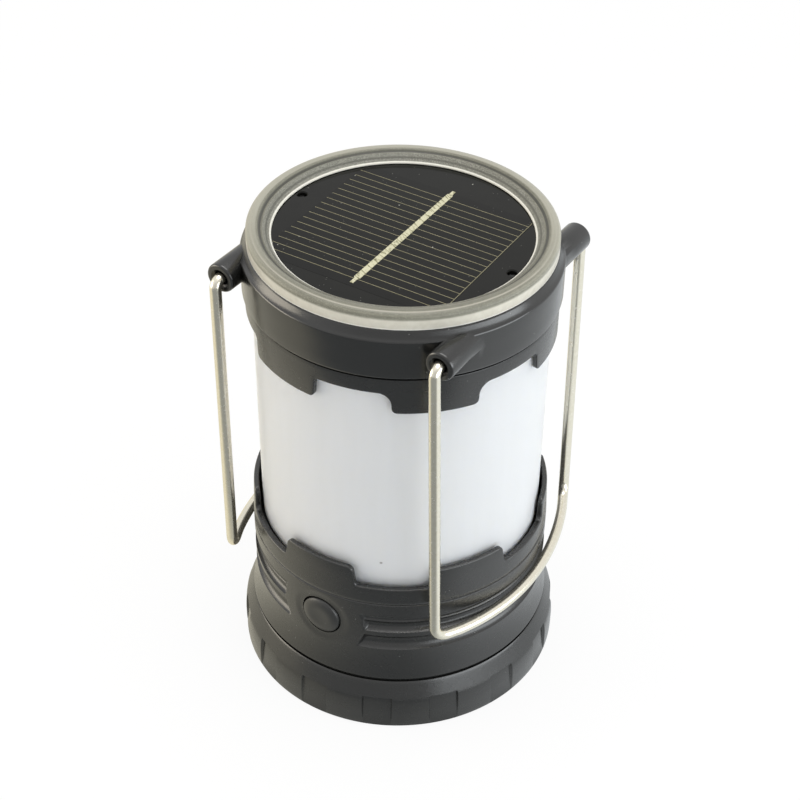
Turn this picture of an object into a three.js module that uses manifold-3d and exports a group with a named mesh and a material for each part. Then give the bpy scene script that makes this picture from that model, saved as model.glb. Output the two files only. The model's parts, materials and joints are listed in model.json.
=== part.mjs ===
// Solar camping lantern, modelled as the separate pieces it is assembled from.
// Millimetres, +Z up. The origin is the centre of the footprint, on the surface the lantern stands on.
// The two wire bails swing about axes parallel to Y, and the power button faces -Y.

import * as THREE from 'three';
import { mergeVertices } from 'three/addons/utils/BufferGeometryUtils.js';
import Module from 'manifold-3d';

const wasm = await Module();
wasm.setup();

// ---------------------------------------------------------------- driving dimensions

const TURN_FACETS = 36; // facets round a large turned piece
const SMALL_FACETS = 12; // facets round a screw, pin or small boss
const RUN_GAP = 0.3; // running clearance between pieces that turn or slide
const SEAT_GAP = 0.2; // clearance between fixed pieces that seat on each other
const BOND_LINE = 0.1; // thickness of glue or solder

// radii of the body, outwards from the diffuser
const DIFFUSER_RADIUS = 41.5;
const DIFFUSER_WALL = 1.8;
const COLLAR_GAP = 0.9; // open ring between diffuser and collar
const COLLAR_WALL = 1.5;
const HOUSING_FLARE = 0.5; // how much wider the housing is than the collar's tip
const SKIRT_WALL = 1.5;
const CAP_OVERHANG = 0.75; // how much wider the cap is than the skirt
const CAP_WALL = 1.8;

// base cover, the twist-off ring with finger grips
const COVER_TOP = 17.4;
const COVER_EDGE = 4; // radius of its rounded top edge
const COVER_EDGE_ARC = 52; // degrees of that rounding, from the side upwards
const COVER_DRAFT = 0.7; // how much its side draws in towards the top
const COVER_BEVEL = 0.4; // at its lower edge
const COVER_WALL = 2.3;
const COVER_FLOOR = 2.7;
const GRIP_COUNT = 16;
const GRIP_WIDTH = 8.4;
const GRIP_DEPTH = 1.2;
const GRIP_TOP = 12.6;
const GRIP_TURN = 0.5; // degrees the grip pattern is turned from the button's side
const LUG_COUNT = 3;
const LUG_ARC = 18; // degrees of each bayonet lug
const LUG_HEIGHT = 2.2;
const LUG_DROP = 6.2; // from the cover's top edge down to its lugs
const SPIGOT_SPACE = 1.5; // room for the gasket between spigot and cover
const SPIGOT_LENGTH = 13.8;
const FOOT_RADIUS = 4.5;
const FOOT_HEIGHT = 1.5;
const FOOT_PROUD = 0.3; // how far a foot stands out of the cover
const FOOT_INSET = 10.3; // from the cover's edge to a foot's middle
const FOOT_COUNT = 4;
const SEAL_RADIUS = 0.6; // section of the two rubber seals

// housing, from its spigot inside the cover up to the castellated collar
const SHADOW_GAP = 0.6; // dark line between cover and housing
const FLARE_WIDTH = 1.9;
const FLARE_HEIGHT = 10.2;
const FLARE_STEP = 1.4; // from the flare's edge in to the spigot
const HOUSING_WALL = 2.0;
const WAIST_HEIGHT = 19.2; // from the flare up to the seam
const WAIST_WALL = 4.2;
const WAIST_GROOVES = [ // [foot above the flare, top above the flare, depth]
  [1.0, 6.5, 1.6],
  [8.1, 12.3, 1.6],
  [12.0, 14.6, 0.8],
];
const SEAM_HEIGHT = 0.7;
const SEAM_DEPTH = 0.6;
const COLLAR_HEIGHT = 5.95; // from the seam up to the valleys between the teeth
const LEDGE_DROP = 1.2; // from the seam down to the ledge inside
const LEDGE_WIDTH = 5.0;
const LEDGE_THICKNESS = 2.2;
const COLUMN_COUNT = 3;
const COLUMN_RADIUS = 3.6;
const COLUMN_INSET = 4.2; // from the waist's bore in to a column's middle

// Teeth that the collar and the skirt share. Each half width is at the tip, along the wall, and the
// root fillets are those of the first tooth and of its two neighbours, by turns round the ring.
const TOOTH_COUNT = 6;
const COLLAR_TOOTH = {
  height: 6.55, halfWidth: 11.2, lean: 1.0, corner: 2.0, fillets: [1.4, 1.4], first: -90,
};
const SKIRT_TOOTH = {
  height: 6.4, halfWidth: 11.75, lean: 0.5, corner: 1.5, fillets: [3.8, 1.2], first: -45.3,
};

// button and switch
const BUTTON_RISE = 8.8; // from the flare up to the button's axis
const BUTTON_RADIUS = 6.1;
const BUTTON_ASIDE = 1.15; // from the lantern's middle plane over to the button's axis
const BUTTON_DOME = 1.5;
const BUTTON_EDGE = 0.4; // bevel round its face
const BUTTON_PROUD = 0.1; // how far the button's rim stands out of the pad
const BUTTON_TRAVEL = 1.2;
const BUTTON_FLANGE = 1.1; // how much wider its flange is than the button
const BUTTON_FLANGE_THICKNESS = 1.2;
const BUTTON_STEM = 2.5;
const BUTTON_STEM_LENGTH = 2.6;
const PAD_RADIUS = 14; // smooth round pad that the waist grooves stop at
const GUIDE_WALL = 2.7; // from the button's bore to the outside of its guide
const PLUNGER_RADIUS = 1.7;
const PLUNGER_FREE = 1.9; // length of the plunger outside its switch
const PLUNGER_HELD = 2.4; // and inside it
const SWITCH_SIZE = 7;
const SWITCH_DEPTH = 6;

// lamp deck, its board and light sources
const DECK_THICKNESS = 2.0;
const POST_RADIUS = 2.6;
const POST_CLEARANCE = 1.1; // from the switch's back to a post
const POST_COUNT = 3;
const POST_TURN = 30; // degrees
const LED_BOARD_RADIUS = 15;
const BOARD_THICKNESS = 1.6;
const LED_COUNT = 6;
const LED_CIRCLE = 9.5;
const LED_SIZE = 3.5;
const LED_HEIGHT = 1.4;
const LED_LENS = 1.3;
const TUBE_RADIUS = 3.0;
const TUBE_WALL = 1.0;
const LEAD_RADIUS = 1.1;

// control electronics
const BOARD_MARGIN = 2.4; // from the screw columns in to the board's edge
const INDUCTOR_RADIUS = 5;
const INDUCTOR_HEIGHT = 6;
const CHIP_SIZE = 6;
const CHIP_HEIGHT = 1.5;

// battery compartment
const CELL_COUNT = 3;
const CELL_RADIUS = 7.1;
const CELL_LENGTH = 50;
const CELL_SPACING = 1.8; // between neighbouring cells
const CELL_NUB_RADIUS = 2.7;
const CELL_NUB_LENGTH = 1.2;
const SPRING_SPACE = 4.0; // length of a contact spring with its cell in place
const SPRING_WIRE = 0.35; // radius of its wire
const SPRING_TURNS = 3;
const SPRING_TIP = 2.2; // radius of its coil at the cell
const CONTACT_THICKNESS = 0.4;
const TRAY_PLATE = 2.2;
const TRAY_WALL = 1.8;
const TRAY_REACH = 9.5; // how far its walls come down from the plate
const PAD_THICKNESS = 1.8; // foam on the cover's floor

// diffuser and skirt
const DIFFUSER_HEIGHT = 80.1; // from its foot up to its shoulder
const DIFFUSER_STEP = 0.8; // how much its lower spigot steps in for the seal
const DIFFUSER_SPIGOT = 5.0;
const DIFFUSER_DRAW = 0.3; // how much its bore narrows towards the foot
const NECK_STEP = 1.9; // how much the neck steps in above the shoulder
const NECK_WALL = 1.6;
const NECK_HEIGHT = 5.9;
const NECK_LIP = 2.3; // width of the flange at the neck's top
const SKIRT_FLANGE = 1.6;
const SKIRT_NOTCH_DROP = 5.25; // from the cap's foot down to the skirt's scallops

// cap with its bail ears
const CAP_GAP = 0.6; // dark line between skirt and cap
const CAP_SIDE = 11.8; // height of its straight side wall
const CAP_SHOULDER = 1.75; // how much it draws in above that
const CAP_BEVEL = 0.8; // at its foot, above the skirt
const CAP_DECK = 2.2;
const CAP_POCKET = 1.7; // depth of the pocket that the rim's spigot sits in
const CAP_LAND = 2.4; // width of the land that the rim stands on
const HINGE_INSET = 9.95; // from the cap's side in to a hinge axis
const EAR_RADIUS = 4.2;
const EAR_SETBACK = 7.45; // from the cap's side in to an ear's end face
const EAR_LENGTH = 21;
const EAR_CHAMFER = 0.6;
const EAR_BORE_DEPTH = 8.5;
const EAR_CLEARANCE = 0.8; // between the ears and the diffuser's neck below them
const BOSS_CIRCLE = 30.4;
const BOSS_RADIUS = 2.8;
const BOSS_COUNT = 3;
const BOSS_TURN = 60; // degrees

// reflector under the cap
const REFLECTOR_THICKNESS = 1.6;
const REFLECTOR_CONE = 26;
const REFLECTOR_DROP = 13;
const TUBE_SOCKET = 3.0;

// solar panel and the rim round it
const RIM_HEIGHT = 4.9;
const RIM_SHOULDER = 1.6; // width of the rim's rounded outer edge
const RIM_CREST = 1.5; // width of its flat top
const RIM_GROOVE = 1.2; // width of the groove inside the crest
const RIM_SLOPE = 1.9; // width of the slope down to the lip
const RIM_LIP = 0.5;
const RIM_LIP_DROP = 2.6; // from the rim's top down to the lip
const PANEL_OVERLAP = 1.5; // how far the lip reaches over the panel's edge
const PANEL_THICKNESS = 2.1;
const PANEL_PAD = 1.2;
const PANEL_HOLE = 1.35;
const PANEL_HOLE_INSET = 3.3; // from the panel's edge in to a pin's middle
const PIN_SHORT = 1.0; // how far the locating pins stay below the panel's face
const CELL_PLATE_X = 54.6;
const CELL_PLATE_Y = 53;
const CELL_PLATE_TURN = 1.8; // degrees, as it was glued
const CELL_PLATE_SHIFT = -2.4; // along Y, likewise
const CELL_PLATE_MARGIN = 0.6; // from the lip in to the plate's clipped corners
const CELL_PLATE_THICKNESS = 0.3;

// wire bails
const WIRE_RADIUS = 1.6;
const WIRE_FACETS = 8;
const WIRE_PLAY = 0.5; // radial play of the wire in its ear
const PIN_LENGTH = 7.5; // wire inside the ear
const PIN_BEND = 2.4;
const LEG_LEAN = 1.3; // how far the legs lean out at the bottom
const BAR_BEND = 5;
const BAR_REACH = 0.8; // how far the middle of the bar stands out past the housing
const BAR_RISE = 10.7; // from the flare up to the middle of the bar
const BAR_DROOP = 15; // degrees that the bowed bar droops

// screws
const SCREW_HEAD = 2.2;
const SCREW_HEAD_HEIGHT = 1.5;
const SCREW_SHANK = 1.1;
const SCREW_LENGTH = 6.5;
const SCREW_CLEARANCE = 0.25;
const HOLE_SPARE = 1.0; // how much deeper a blind hole is than its screw

// ---------------------------------------------------------------- sizes worked out from them

const COLLAR_BORE = DIFFUSER_RADIUS + COLLAR_GAP;
const COLLAR_RADIUS = COLLAR_BORE + COLLAR_WALL;
const HOUSING_RADIUS = COLLAR_RADIUS + HOUSING_FLARE;
const WAIST_BORE = HOUSING_RADIUS - WAIST_WALL;
const FLARE_RADIUS = HOUSING_RADIUS + FLARE_WIDTH;
const SPIGOT_RADIUS = FLARE_RADIUS - FLARE_STEP;
const LOWER_BORE = SPIGOT_RADIUS - HOUSING_WALL;
const COVER_INNER = SPIGOT_RADIUS + SPIGOT_SPACE;
const COVER_RADIUS = COVER_INNER + COVER_WALL;
const COVER_FLOOR_Z = FOOT_PROUD + COVER_FLOOR;
const COVER_LUG_Z = COVER_TOP - LUG_DROP - LUG_HEIGHT;
const FOOT_CIRCLE = COVER_RADIUS - FOOT_INSET;
const HOUSING_FOOT = COVER_TOP + SHADOW_GAP;
const SPIGOT_FOOT = HOUSING_FOOT - SPIGOT_LENGTH;
const FLARE_TOP = HOUSING_FOOT + FLARE_HEIGHT;
const SEAM_Z = FLARE_TOP + WAIST_HEIGHT;
const COLLAR_VALLEY = SEAM_Z + COLLAR_HEIGHT;
const COLLAR_TIP = COLLAR_VALLEY + COLLAR_TOOTH.height;
const LEDGE_Z = SEAM_Z - LEDGE_DROP;
const LEDGE_INNER = COLLAR_BORE - LEDGE_WIDTH;
const COLUMN_CIRCLE = WAIST_BORE - COLUMN_INSET;
const BOARD_RADIUS = COLUMN_CIRCLE - COLUMN_RADIUS - BOARD_MARGIN;

const CELL_AXIS_Z = COVER_FLOOR_Z + BOND_LINE + PAD_THICKNESS + RUN_GAP + CELL_RADIUS;
const TRAY_FOOT = CELL_AXIS_Z + CELL_RADIUS + RUN_GAP;
const TRAY_TOP = TRAY_FOOT + TRAY_PLATE;
const CELL_PITCH = 2 * CELL_RADIUS + CELL_SPACING;
const BAY_HALF = (CELL_LENGTH + CELL_NUB_LENGTH + SPRING_SPACE) / 2;
const CONTACT_FACE = BAY_HALF + SEAT_GAP;

const DIFFUSER_FOOT = LEDGE_Z + SEAT_GAP;
const DIFFUSER_BORE = DIFFUSER_RADIUS - DIFFUSER_WALL;
const DIFFUSER_SHOULDER = DIFFUSER_FOOT + DIFFUSER_HEIGHT;
const DIFFUSER_FOOT_RADIUS = DIFFUSER_RADIUS - DIFFUSER_STEP;
const DIFFUSER_FOOT_BORE = DIFFUSER_BORE - DIFFUSER_DRAW;
const NECK_RADIUS = DIFFUSER_RADIUS - NECK_STEP;
const NECK_BORE = NECK_RADIUS - NECK_WALL;
const NECK_TOP = DIFFUSER_SHOULDER + NECK_HEIGHT;
const SKIRT_BORE = DIFFUSER_RADIUS + RUN_GAP;
const SKIRT_RADIUS = SKIRT_BORE + SKIRT_WALL;
const SKIRT_FLANGE_Z = DIFFUSER_SHOULDER + SEAT_GAP;
const SKIRT_TOP = SKIRT_FLANGE_Z + SKIRT_FLANGE;
const CAP_RADIUS = SKIRT_RADIUS + CAP_OVERHANG;
const CAP_INNER = CAP_RADIUS - CAP_WALL;
const CAP_FOOT = SKIRT_TOP + CAP_GAP;
const CAP_SHOULDER_Z = CAP_FOOT + CAP_SIDE;
const SKIRT_NOTCH = CAP_FOOT - SKIRT_NOTCH_DROP;
const SKIRT_TIP = SKIRT_NOTCH - SKIRT_TOOTH.height;
const HINGE_X = CAP_RADIUS - HINGE_INSET;
const HINGE_Z = NECK_TOP + EAR_CLEARANCE + EAR_RADIUS;
const EAR_END = CAP_RADIUS - EAR_SETBACK;
const EAR_BORE = WIRE_RADIUS + WIRE_PLAY;
const CAP_DECK_Z = HINGE_Z + EAR_RADIUS;
const CAP_CEILING = CAP_DECK_Z - CAP_DECK;
const CAP_TOP = CAP_DECK_Z + CAP_POCKET;
const CAP_TOP_RADIUS = CAP_RADIUS - CAP_SHOULDER;
const POCKET_RADIUS = CAP_TOP_RADIUS - CAP_LAND;

const DECK_RADIUS = DIFFUSER_FOOT_BORE - RUN_GAP;
const DECK_FOOT = LEDGE_Z + SEAT_GAP;
const DECK_TOP = DECK_FOOT + DECK_THICKNESS;
const LED_BOARD_FOOT = DECK_TOP + BOND_LINE;
const LED_BOARD_TOP = LED_BOARD_FOOT + BOARD_THICKNESS;
const LEAD_BORE = LEAD_RADIUS + RUN_GAP;
const REFLECTOR_TOP = NECK_TOP - NECK_WALL - SEAT_GAP;
const REFLECTOR_RADIUS = NECK_BORE - RUN_GAP;
const REFLECTOR_FOOT = REFLECTOR_TOP - REFLECTOR_THICKNESS;
const REFLECTOR_TIP = REFLECTOR_FOOT - REFLECTOR_DROP;

const RIM_OUTER = CAP_TOP_RADIUS - BOND_LINE;
const RIM_FOOT = CAP_TOP + BOND_LINE;
const RIM_TOP = RIM_FOOT + RIM_HEIGHT;
const RIM_SPIGOT = POCKET_RADIUS - SEAT_GAP;
const RIM_OPENING = RIM_OUTER - RIM_SHOULDER - RIM_CREST - RIM_GROOVE - RIM_SLOPE - RIM_LIP;
const PANEL_RADIUS = RIM_OPENING + PANEL_OVERLAP;
const PANEL_PAD_Z = CAP_DECK_Z + BOND_LINE;
const PANEL_FOOT = PANEL_PAD_Z + PANEL_PAD + BOND_LINE;
const PANEL_TOP = PANEL_FOOT + PANEL_THICKNESS;
const PANEL_HOLE_CIRCLE = PANEL_RADIUS - PANEL_HOLE_INSET;

const BUTTON_Z = FLARE_TOP + BUTTON_RISE;
const BUTTON_FACE = Math.sqrt(HOUSING_RADIUS ** 2 - (BUTTON_RADIUS - BUTTON_ASIDE) ** 2) + BUTTON_PROUD;
const GUIDE_RADIUS = BUTTON_RADIUS + GUIDE_WALL;
const GUIDE_FACE = Math.sqrt(WAIST_BORE ** 2 - (GUIDE_RADIUS + BUTTON_ASIDE) ** 2) - RUN_GAP;
const FLANGE_FRONT = GUIDE_FACE - SEAT_GAP;
const FLANGE_BACK = FLANGE_FRONT - BUTTON_FLANGE_THICKNESS;
const STEM_END = FLANGE_BACK - BUTTON_STEM_LENGTH;
const PLUNGER_TIP = STEM_END - SEAT_GAP;
const SWITCH_FRONT = PLUNGER_TIP - PLUNGER_FREE;
const POST_CIRCLE = SWITCH_FRONT - SWITCH_DEPTH - POST_CLEARANCE - POST_RADIUS;
const CONTROL_BOARD_TOP = BUTTON_Z - SWITCH_SIZE / 2 - BOND_LINE;
const CONTROL_BOARD_FOOT = CONTROL_BOARD_TOP - BOARD_THICKNESS;
const PARTS_Z = CONTROL_BOARD_TOP + BOND_LINE; // what is soldered to the board stands here

const LEG_Y = EAR_END + RUN_GAP + WIRE_RADIUS;
const rad = THREE.MathUtils.degToRad;
const BOW = (HOUSING_RADIUS + BAR_REACH - HINGE_X - LEG_LEAN) / Math.cos(rad(BAR_DROOP));
const LEG_LENGTH = HINGE_Z - (FLARE_TOP + BAR_RISE) - BOW * Math.sin(rad(BAR_DROOP));

// ---------------------------------------------------------------- materials

function finish(color, roughness, metalness = 0) {
  return { color, roughness, metalness };
}
const BLACK_SATIN = finish(0x2b2c2c, 0.42);
const CLEAR_RIM = finish(0xc9c8c0, 0.28);
const PANEL_BLACK = finish(0x191b1e, 0.3);
const SILICON = finish(0x15171c, 0.25);
const OPAL = finish(0xeef0ef, 0.45);
const NICKEL = finish(0xcfc9ba, 0.22, 1);
const STEEL = finish(0xa9abad, 0.35, 1);
const WHITE_PLASTIC = finish(0xf2f2ee, 0.5);
const RUBBER = finish(0x1c1c1c, 0.9);
const FOAM = finish(0x3a3a3c, 0.95);
const GREEN_BOARD = finish(0x1f5a38, 0.5);
const LED_WHITE = finish(0xf4e9a8, 0.3);
const CELL_SLEEVE = finish(0x2f6f4e, 0.35);
const BLACK_PART = finish(0x202124, 0.6);
const CLEAR_TUBE = finish(0xdfe6e8, 0.15);

const lantern = new THREE.Group();

// Hangs a finished piece in the scene graph under the name a person would use for it.
function addPiece(parent, name, solid, look, position = [0, 0, 0]) {
  const material = new THREE.MeshStandardMaterial(look);
  const mesh = new THREE.Mesh(toGeometry(solid), material);
  mesh.name = name;
  mesh.position.set(...position);
  parent.add(mesh);
}

// ---------------------------------------------------------------- solids

// Keeps only positions, merges them and drops slivers, so that the surface closes on itself.
function toSolid(geometry) {
  const bare = geometry.index ? geometry.toNonIndexed() : geometry.clone();
  bare.deleteAttribute('normal');
  bare.deleteAttribute('uv');
  const merged = mergeVertices(bare, 1e-4);
  const index = [];
  const source = merged.index.array;
  for (let i = 0; i < source.length; i += 3) {
    const [a, b, c] = [source[i], source[i + 1], source[i + 2]];
    if (a !== b && b !== c && c !== a) index.push(a, b, c);
  }
  const vertProperties = new Float32Array(merged.attributes.position.array);
  const asManifold = (triangles) => new wasm.Manifold(
    new wasm.Mesh({ numProp: 3, vertProperties, triVerts: new Uint32Array(triangles) }),
  );
  const solid = asManifold(index);
  return solid.volume() < 0 ? asManifold(index.reverse()) : solid;
}

function toGeometry(solid) {
  const mesh = solid.getMesh();
  const geometry = new THREE.BufferGeometry();
  geometry.setAttribute('position', new THREE.BufferAttribute(new Float32Array(mesh.vertProperties), 3));
  geometry.setIndex(new THREE.BufferAttribute(new Uint32Array(mesh.triVerts), 1));
  geometry.computeVertexNormals();
  return geometry;
}

// Turns an outline of [radius, z] points about Z. One that stays off the axis is closed on itself.
function turned(outline, facets = TURN_FACETS) {
  let area = 0;
  outline.forEach(([r, z], i) => {
    const [nextR, nextZ] = outline[(i + 1) % outline.length];
    area += r * nextZ - nextR * z;
  });
  const ordered = area < 0 ? [...outline].reverse() : [...outline];
  const next = (i) => ordered[(i + 1) % ordered.length];
  const leavesAxis = ordered.findIndex(([r], i) => r === 0 && next(i)[0] !== 0);
  if (leavesAxis < 0) ordered.push(ordered[0]);
  else ordered.push(...ordered.splice(0, leavesAxis));
  const geometry = new THREE.LatheGeometry(ordered.map(([r, z]) => new THREE.Vector2(r, z)), facets);
  geometry.rotateX(Math.PI / 2);
  return toSolid(geometry);
}

// A ring of rectangular section.
function tube(inner, outer, z1, z2, facets = TURN_FACETS) {
  return turned([[inner, z1], [outer, z1], [outer, z2], [inner, z2]], facets);
}

// A straight round bar or disc between two heights.
function disc(radius, z1, z2, facets = SMALL_FACETS) {
  const geometry = new THREE.CylinderGeometry(radius, radius, z2 - z1, facets);
  geometry.rotateX(Math.PI / 2);
  geometry.translate(0, 0, (z1 + z2) / 2);
  return toSolid(geometry);
}

// The same bar laid along the button's axis, between two distances out towards -Y.
function buttonBar(radius, near, far, facets = SMALL_FACETS) {
  const geometry = new THREE.CylinderGeometry(radius, radius, far - near, facets);
  geometry.translate(BUTTON_ASIDE, -(near + far) / 2, BUTTON_Z);
  return toSolid(geometry);
}

function box(x1, x2, y1, y2, z1, z2) {
  const geometry = new THREE.BoxGeometry(x2 - x1, y2 - y1, z2 - z1);
  geometry.translate((x1 + x2) / 2, (y1 + y2) / 2, (z1 + z2) / 2);
  return toSolid(geometry);
}

function raised(points, depth) {
  const shape = new THREE.Shape(points.map(([x, y]) => new THREE.Vector2(x, y)));
  return new THREE.ExtrudeGeometry(shape, { depth, bevelEnabled: false });
}

// A slice of a ring: between two radii, two heights and two directions in degrees.
function sector(inner, outer, z1, z2, from, to) {
  const points = [...arc(0, 0, outer, from, to, 3), ...arc(0, 0, inner, to, from, 3)];
  return toSolid(raised(points, z2 - z1).translate(0, 0, z1));
}

function joined(...solids) {
  return solids.reduce((sum, solid) => sum.add(solid));
}

function cut(solid, ...tools) {
  return tools.reduce((rest, tool) => rest.subtract(tool), solid);
}

// Directions of evenly spaced features, in degrees.
function around(count, first = 0) {
  return Array.from({ length: count }, (_, i) => first + (360 * i) / count);
}

function onCircle(radius, degrees) {
  return [radius * Math.cos(rad(degrees)), radius * Math.sin(rad(degrees))];
}

// One copy of a solid at each direction round a circle, not turned.
function ringOf(solid, radius, directions) {
  return directions.map((degrees) => solid.translate([...onCircle(radius, degrees), 0]));
}

// Points of an arc, for round stretches of an outline.
function arc(cx, cy, radius, from, to, steps) {
  const points = [];
  for (let i = 0; i <= steps; i += 1) {
    const [x, y] = onCircle(radius, from + ((to - from) * i) / steps);
    points.push([cx + x, cy + y]);
  }
  return points;
}

// A rubber seal, from its middle radius.
function seal(radius, z) {
  const geometry = new THREE.TorusGeometry(radius, SEAL_RADIUS, 4, TURN_FACETS);
  geometry.translate(0, 0, z);
  return toSolid(geometry);
}

// ---------------------------------------------------------------- teeth of the collar and the skirt

// Half of the space between two teeth, unrolled flat: distance from its middle against height.
// It starts in the valley, and goes through the root fillet and the leaning flank to the rounded tip.
function halfGap(tooth, fillet, wallRadius) {
  const { height, halfWidth, lean, corner } = tooth;
  const halfPitch = (Math.PI * wallRadius) / TOOTH_COUNT;
  const tilt = THREE.MathUtils.radToDeg(Math.atan2(lean, height));
  const flank = (h) => halfPitch - halfWidth - lean * (1 - h / height);
  const filletMiddle = flank(fillet) - fillet;
  const cornerMiddle = flank(height - corner) + corner;
  const root = arc(filletMiddle, fillet, fillet, 270, 360 - tilt, 3);
  const tip = arc(cornerMiddle, height - corner, corner, 180 - tilt, 90, 2);
  return [...root, ...tip];
}

// A cutter for one gap, on the -Y side. It goes straight through the wall, between the tooth that
// has the first of the two fillets and the next tooth round, which has the second.
function gapCutter(tooth, fillets, wallRadius, valleyZ, up) {
  const [left, right] = fillets.map((fillet) => {
    const half = halfGap(tooth, fillet, wallRadius);
    const [edge] = half[half.length - 1];
    return [...half, [edge, tooth.height + 1]];
  });
  const mirrored = left.map(([s, h]) => [-s, h]).reverse();
  const depth = 6;
  const cutter = raised([...right, ...mirrored].map(([s, h]) => [s, up * h]), depth);
  cutter.rotateX(Math.PI / 2);
  cutter.translate(0, depth / 2 - wallRadius, valleyZ);
  return toSolid(cutter);
}

// The six cutters that leave the teeth standing in a plain wall. The teeth point up when `up`
// is 1 and down when it is -1.
function toothGaps(tooth, wallRadius, valleyZ, up) {
  const orders = [tooth.fillets, [...tooth.fillets].reverse()];
  const cutters = orders.map((fillets) => gapCutter(tooth, fillets, wallRadius, valleyZ, up));
  const middles = around(TOOTH_COUNT, tooth.first + 180 / TOOTH_COUNT);
  return middles.map((angle, i) => cutters[i % 2].rotate([0, 0, angle + 90]));
}

// ---------------------------------------------------------------- screws

// A pan-head screw with its head's seat at z = 0 and its shank along -Z.
function screw() {
  const taper = SCREW_LENGTH - SCREW_SHANK;
  return turned([
    [0, -SCREW_LENGTH], [SCREW_SHANK, -taper], [SCREW_SHANK, 0], [SCREW_HEAD, 0],
    [SCREW_HEAD, SCREW_HEAD_HEIGHT * 0.5], [0, SCREW_HEAD_HEIGHT],
  ], 6);
}

function screwHole(z1, z2) {
  return disc(SCREW_SHANK + SCREW_CLEARANCE, z1, z2, 6);
}

const postDirections = around(POST_COUNT, POST_TURN);
const bossDirections = around(BOSS_COUNT, BOSS_TURN);
const columnDirections = around(COLUMN_COUNT);
const footDirections = around(FOOT_COUNT, 45);
const holeDirections = around(2); // the panel's two locating holes

// ---------------------------------------------------------------- base cover

function bayonetLugs(inner, outer, foot) {
  return around(LUG_COUNT, 180 / LUG_COUNT).map((middle) => (
    sector(inner, outer, foot, foot + LUG_HEIGHT, middle - LUG_ARC / 2, middle + LUG_ARC / 2)
  ));
}

function buildBaseCover() {
  const edgeFoot = COVER_TOP - COVER_EDGE * Math.sin(rad(COVER_EDGE_ARC));
  const roundTop = arc(COVER_RADIUS - COVER_DRAFT - COVER_EDGE, edgeFoot, COVER_EDGE, 0, COVER_EDGE_ARC, 4);
  const cup = turned([
    [0, FOOT_PROUD], [COVER_RADIUS - COVER_BEVEL, FOOT_PROUD], [COVER_RADIUS, FOOT_PROUD + COVER_BEVEL],
    ...roundTop, [COVER_INNER, COVER_TOP], [COVER_INNER, COVER_FLOOR_Z], [0, COVER_FLOOR_Z],
  ]);
  const lugs = bayonetLugs(SPIGOT_RADIUS + RUN_GAP, COVER_INNER + COVER_WALL / 3, COVER_LUG_Z);
  const grip = box(COVER_RADIUS - GRIP_DEPTH, COVER_RADIUS + 1, -GRIP_WIDTH / 2, GRIP_WIDTH / 2, 0, GRIP_TOP);
  const grips = around(GRIP_COUNT, GRIP_TURN - 90).map((angle) => grip.rotate([0, 0, angle]));
  const pocket = disc(FOOT_RADIUS + SEAT_GAP, 0, FOOT_HEIGHT + BOND_LINE);
  return cut(joined(cup, ...lugs), ...grips, ...ringOf(pocket, FOOT_CIRCLE, footDirections));
}

function buildFoot() {
  const r = FOOT_RADIUS;
  return turned([[0, 0], [r - 0.4, 0], [r, 0.4], [r, FOOT_HEIGHT], [0, FOOT_HEIGHT]], SMALL_FACETS);
}

// ---------------------------------------------------------------- housing

// The wall's outside and inside, before the waist grooves, the teeth and the button.
function housingShell() {
  const step = TRAY_TOP + SEAT_GAP;
  return turned([
    [SPIGOT_RADIUS, SPIGOT_FOOT], [SPIGOT_RADIUS, HOUSING_FOOT], [FLARE_RADIUS, HOUSING_FOOT],
    [HOUSING_RADIUS + FLARE_WIDTH * 0.75, HOUSING_FOOT + FLARE_HEIGHT * 0.45],
    [HOUSING_RADIUS + FLARE_WIDTH * 0.2, HOUSING_FOOT + FLARE_HEIGHT * 0.75],
    [HOUSING_RADIUS, FLARE_TOP], [HOUSING_RADIUS, SEAM_Z - SEAM_HEIGHT / 2],
    [HOUSING_RADIUS - SEAM_DEPTH, SEAM_Z], [HOUSING_RADIUS, SEAM_Z + SEAM_HEIGHT / 2],
    [COLLAR_RADIUS, COLLAR_TIP], [COLLAR_BORE, COLLAR_TIP], [COLLAR_BORE, LEDGE_Z],
    [LEDGE_INNER, LEDGE_Z], [LEDGE_INNER, LEDGE_Z - LEDGE_THICKNESS],
    [WAIST_BORE, LEDGE_Z - LEDGE_THICKNESS * 1.7],
    [WAIST_BORE, step], [LOWER_BORE, step], [LOWER_BORE, SPIGOT_FOOT],
  ]);
}

// The grooves round the waist are hollowed out in an arc, and stop at the smooth pad round the button.
function waistGrooves() {
  const beyond = HOUSING_RADIUS + 1;
  const rings = WAIST_GROOVES.map(([foot, top, depth]) => {
    const [z1, z2] = [FLARE_TOP + foot, FLARE_TOP + top];
    const half = (z2 - z1) / 2;
    const hollow = (half ** 2 + depth ** 2) / (2 * depth);
    const spread = THREE.MathUtils.radToDeg(Math.asin(half / hollow));
    const middle = HOUSING_RADIUS - depth + hollow;
    const section = arc(middle, z1 + half, hollow, 180 - spread, 180 + spread, 4);
    return turned([...section, [beyond, z1], [beyond, z2]]);
  });
  const pad = buttonBar(PAD_RADIUS, WAIST_BORE / 2, beyond + 1, 24);
  return joined(...rings).subtract(pad);
}

// Screw columns: the lamp deck is screwed on from above and the battery tray from below.
function screwColumns() {
  const foot = TRAY_TOP + SEAT_GAP;
  const post = disc(COLUMN_RADIUS, foot, LEDGE_Z);
  const web = box(0, COLUMN_INSET + 0.8, -1, 1, foot, LEDGE_Z);
  const column = post.add(web).translate([COLUMN_CIRCLE, 0, 0]);
  return columnDirections.map((angle) => column.rotate([0, 0, angle]));
}

function columnHoles() {
  const depth = SCREW_LENGTH + HOLE_SPARE;
  const upper = screwHole(LEDGE_Z - depth, LEDGE_Z + 1);
  const lower = screwHole(TRAY_TOP - 1, TRAY_TOP + depth);
  return ringOf(upper.add(lower), COLUMN_CIRCLE, columnDirections);
}

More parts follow.
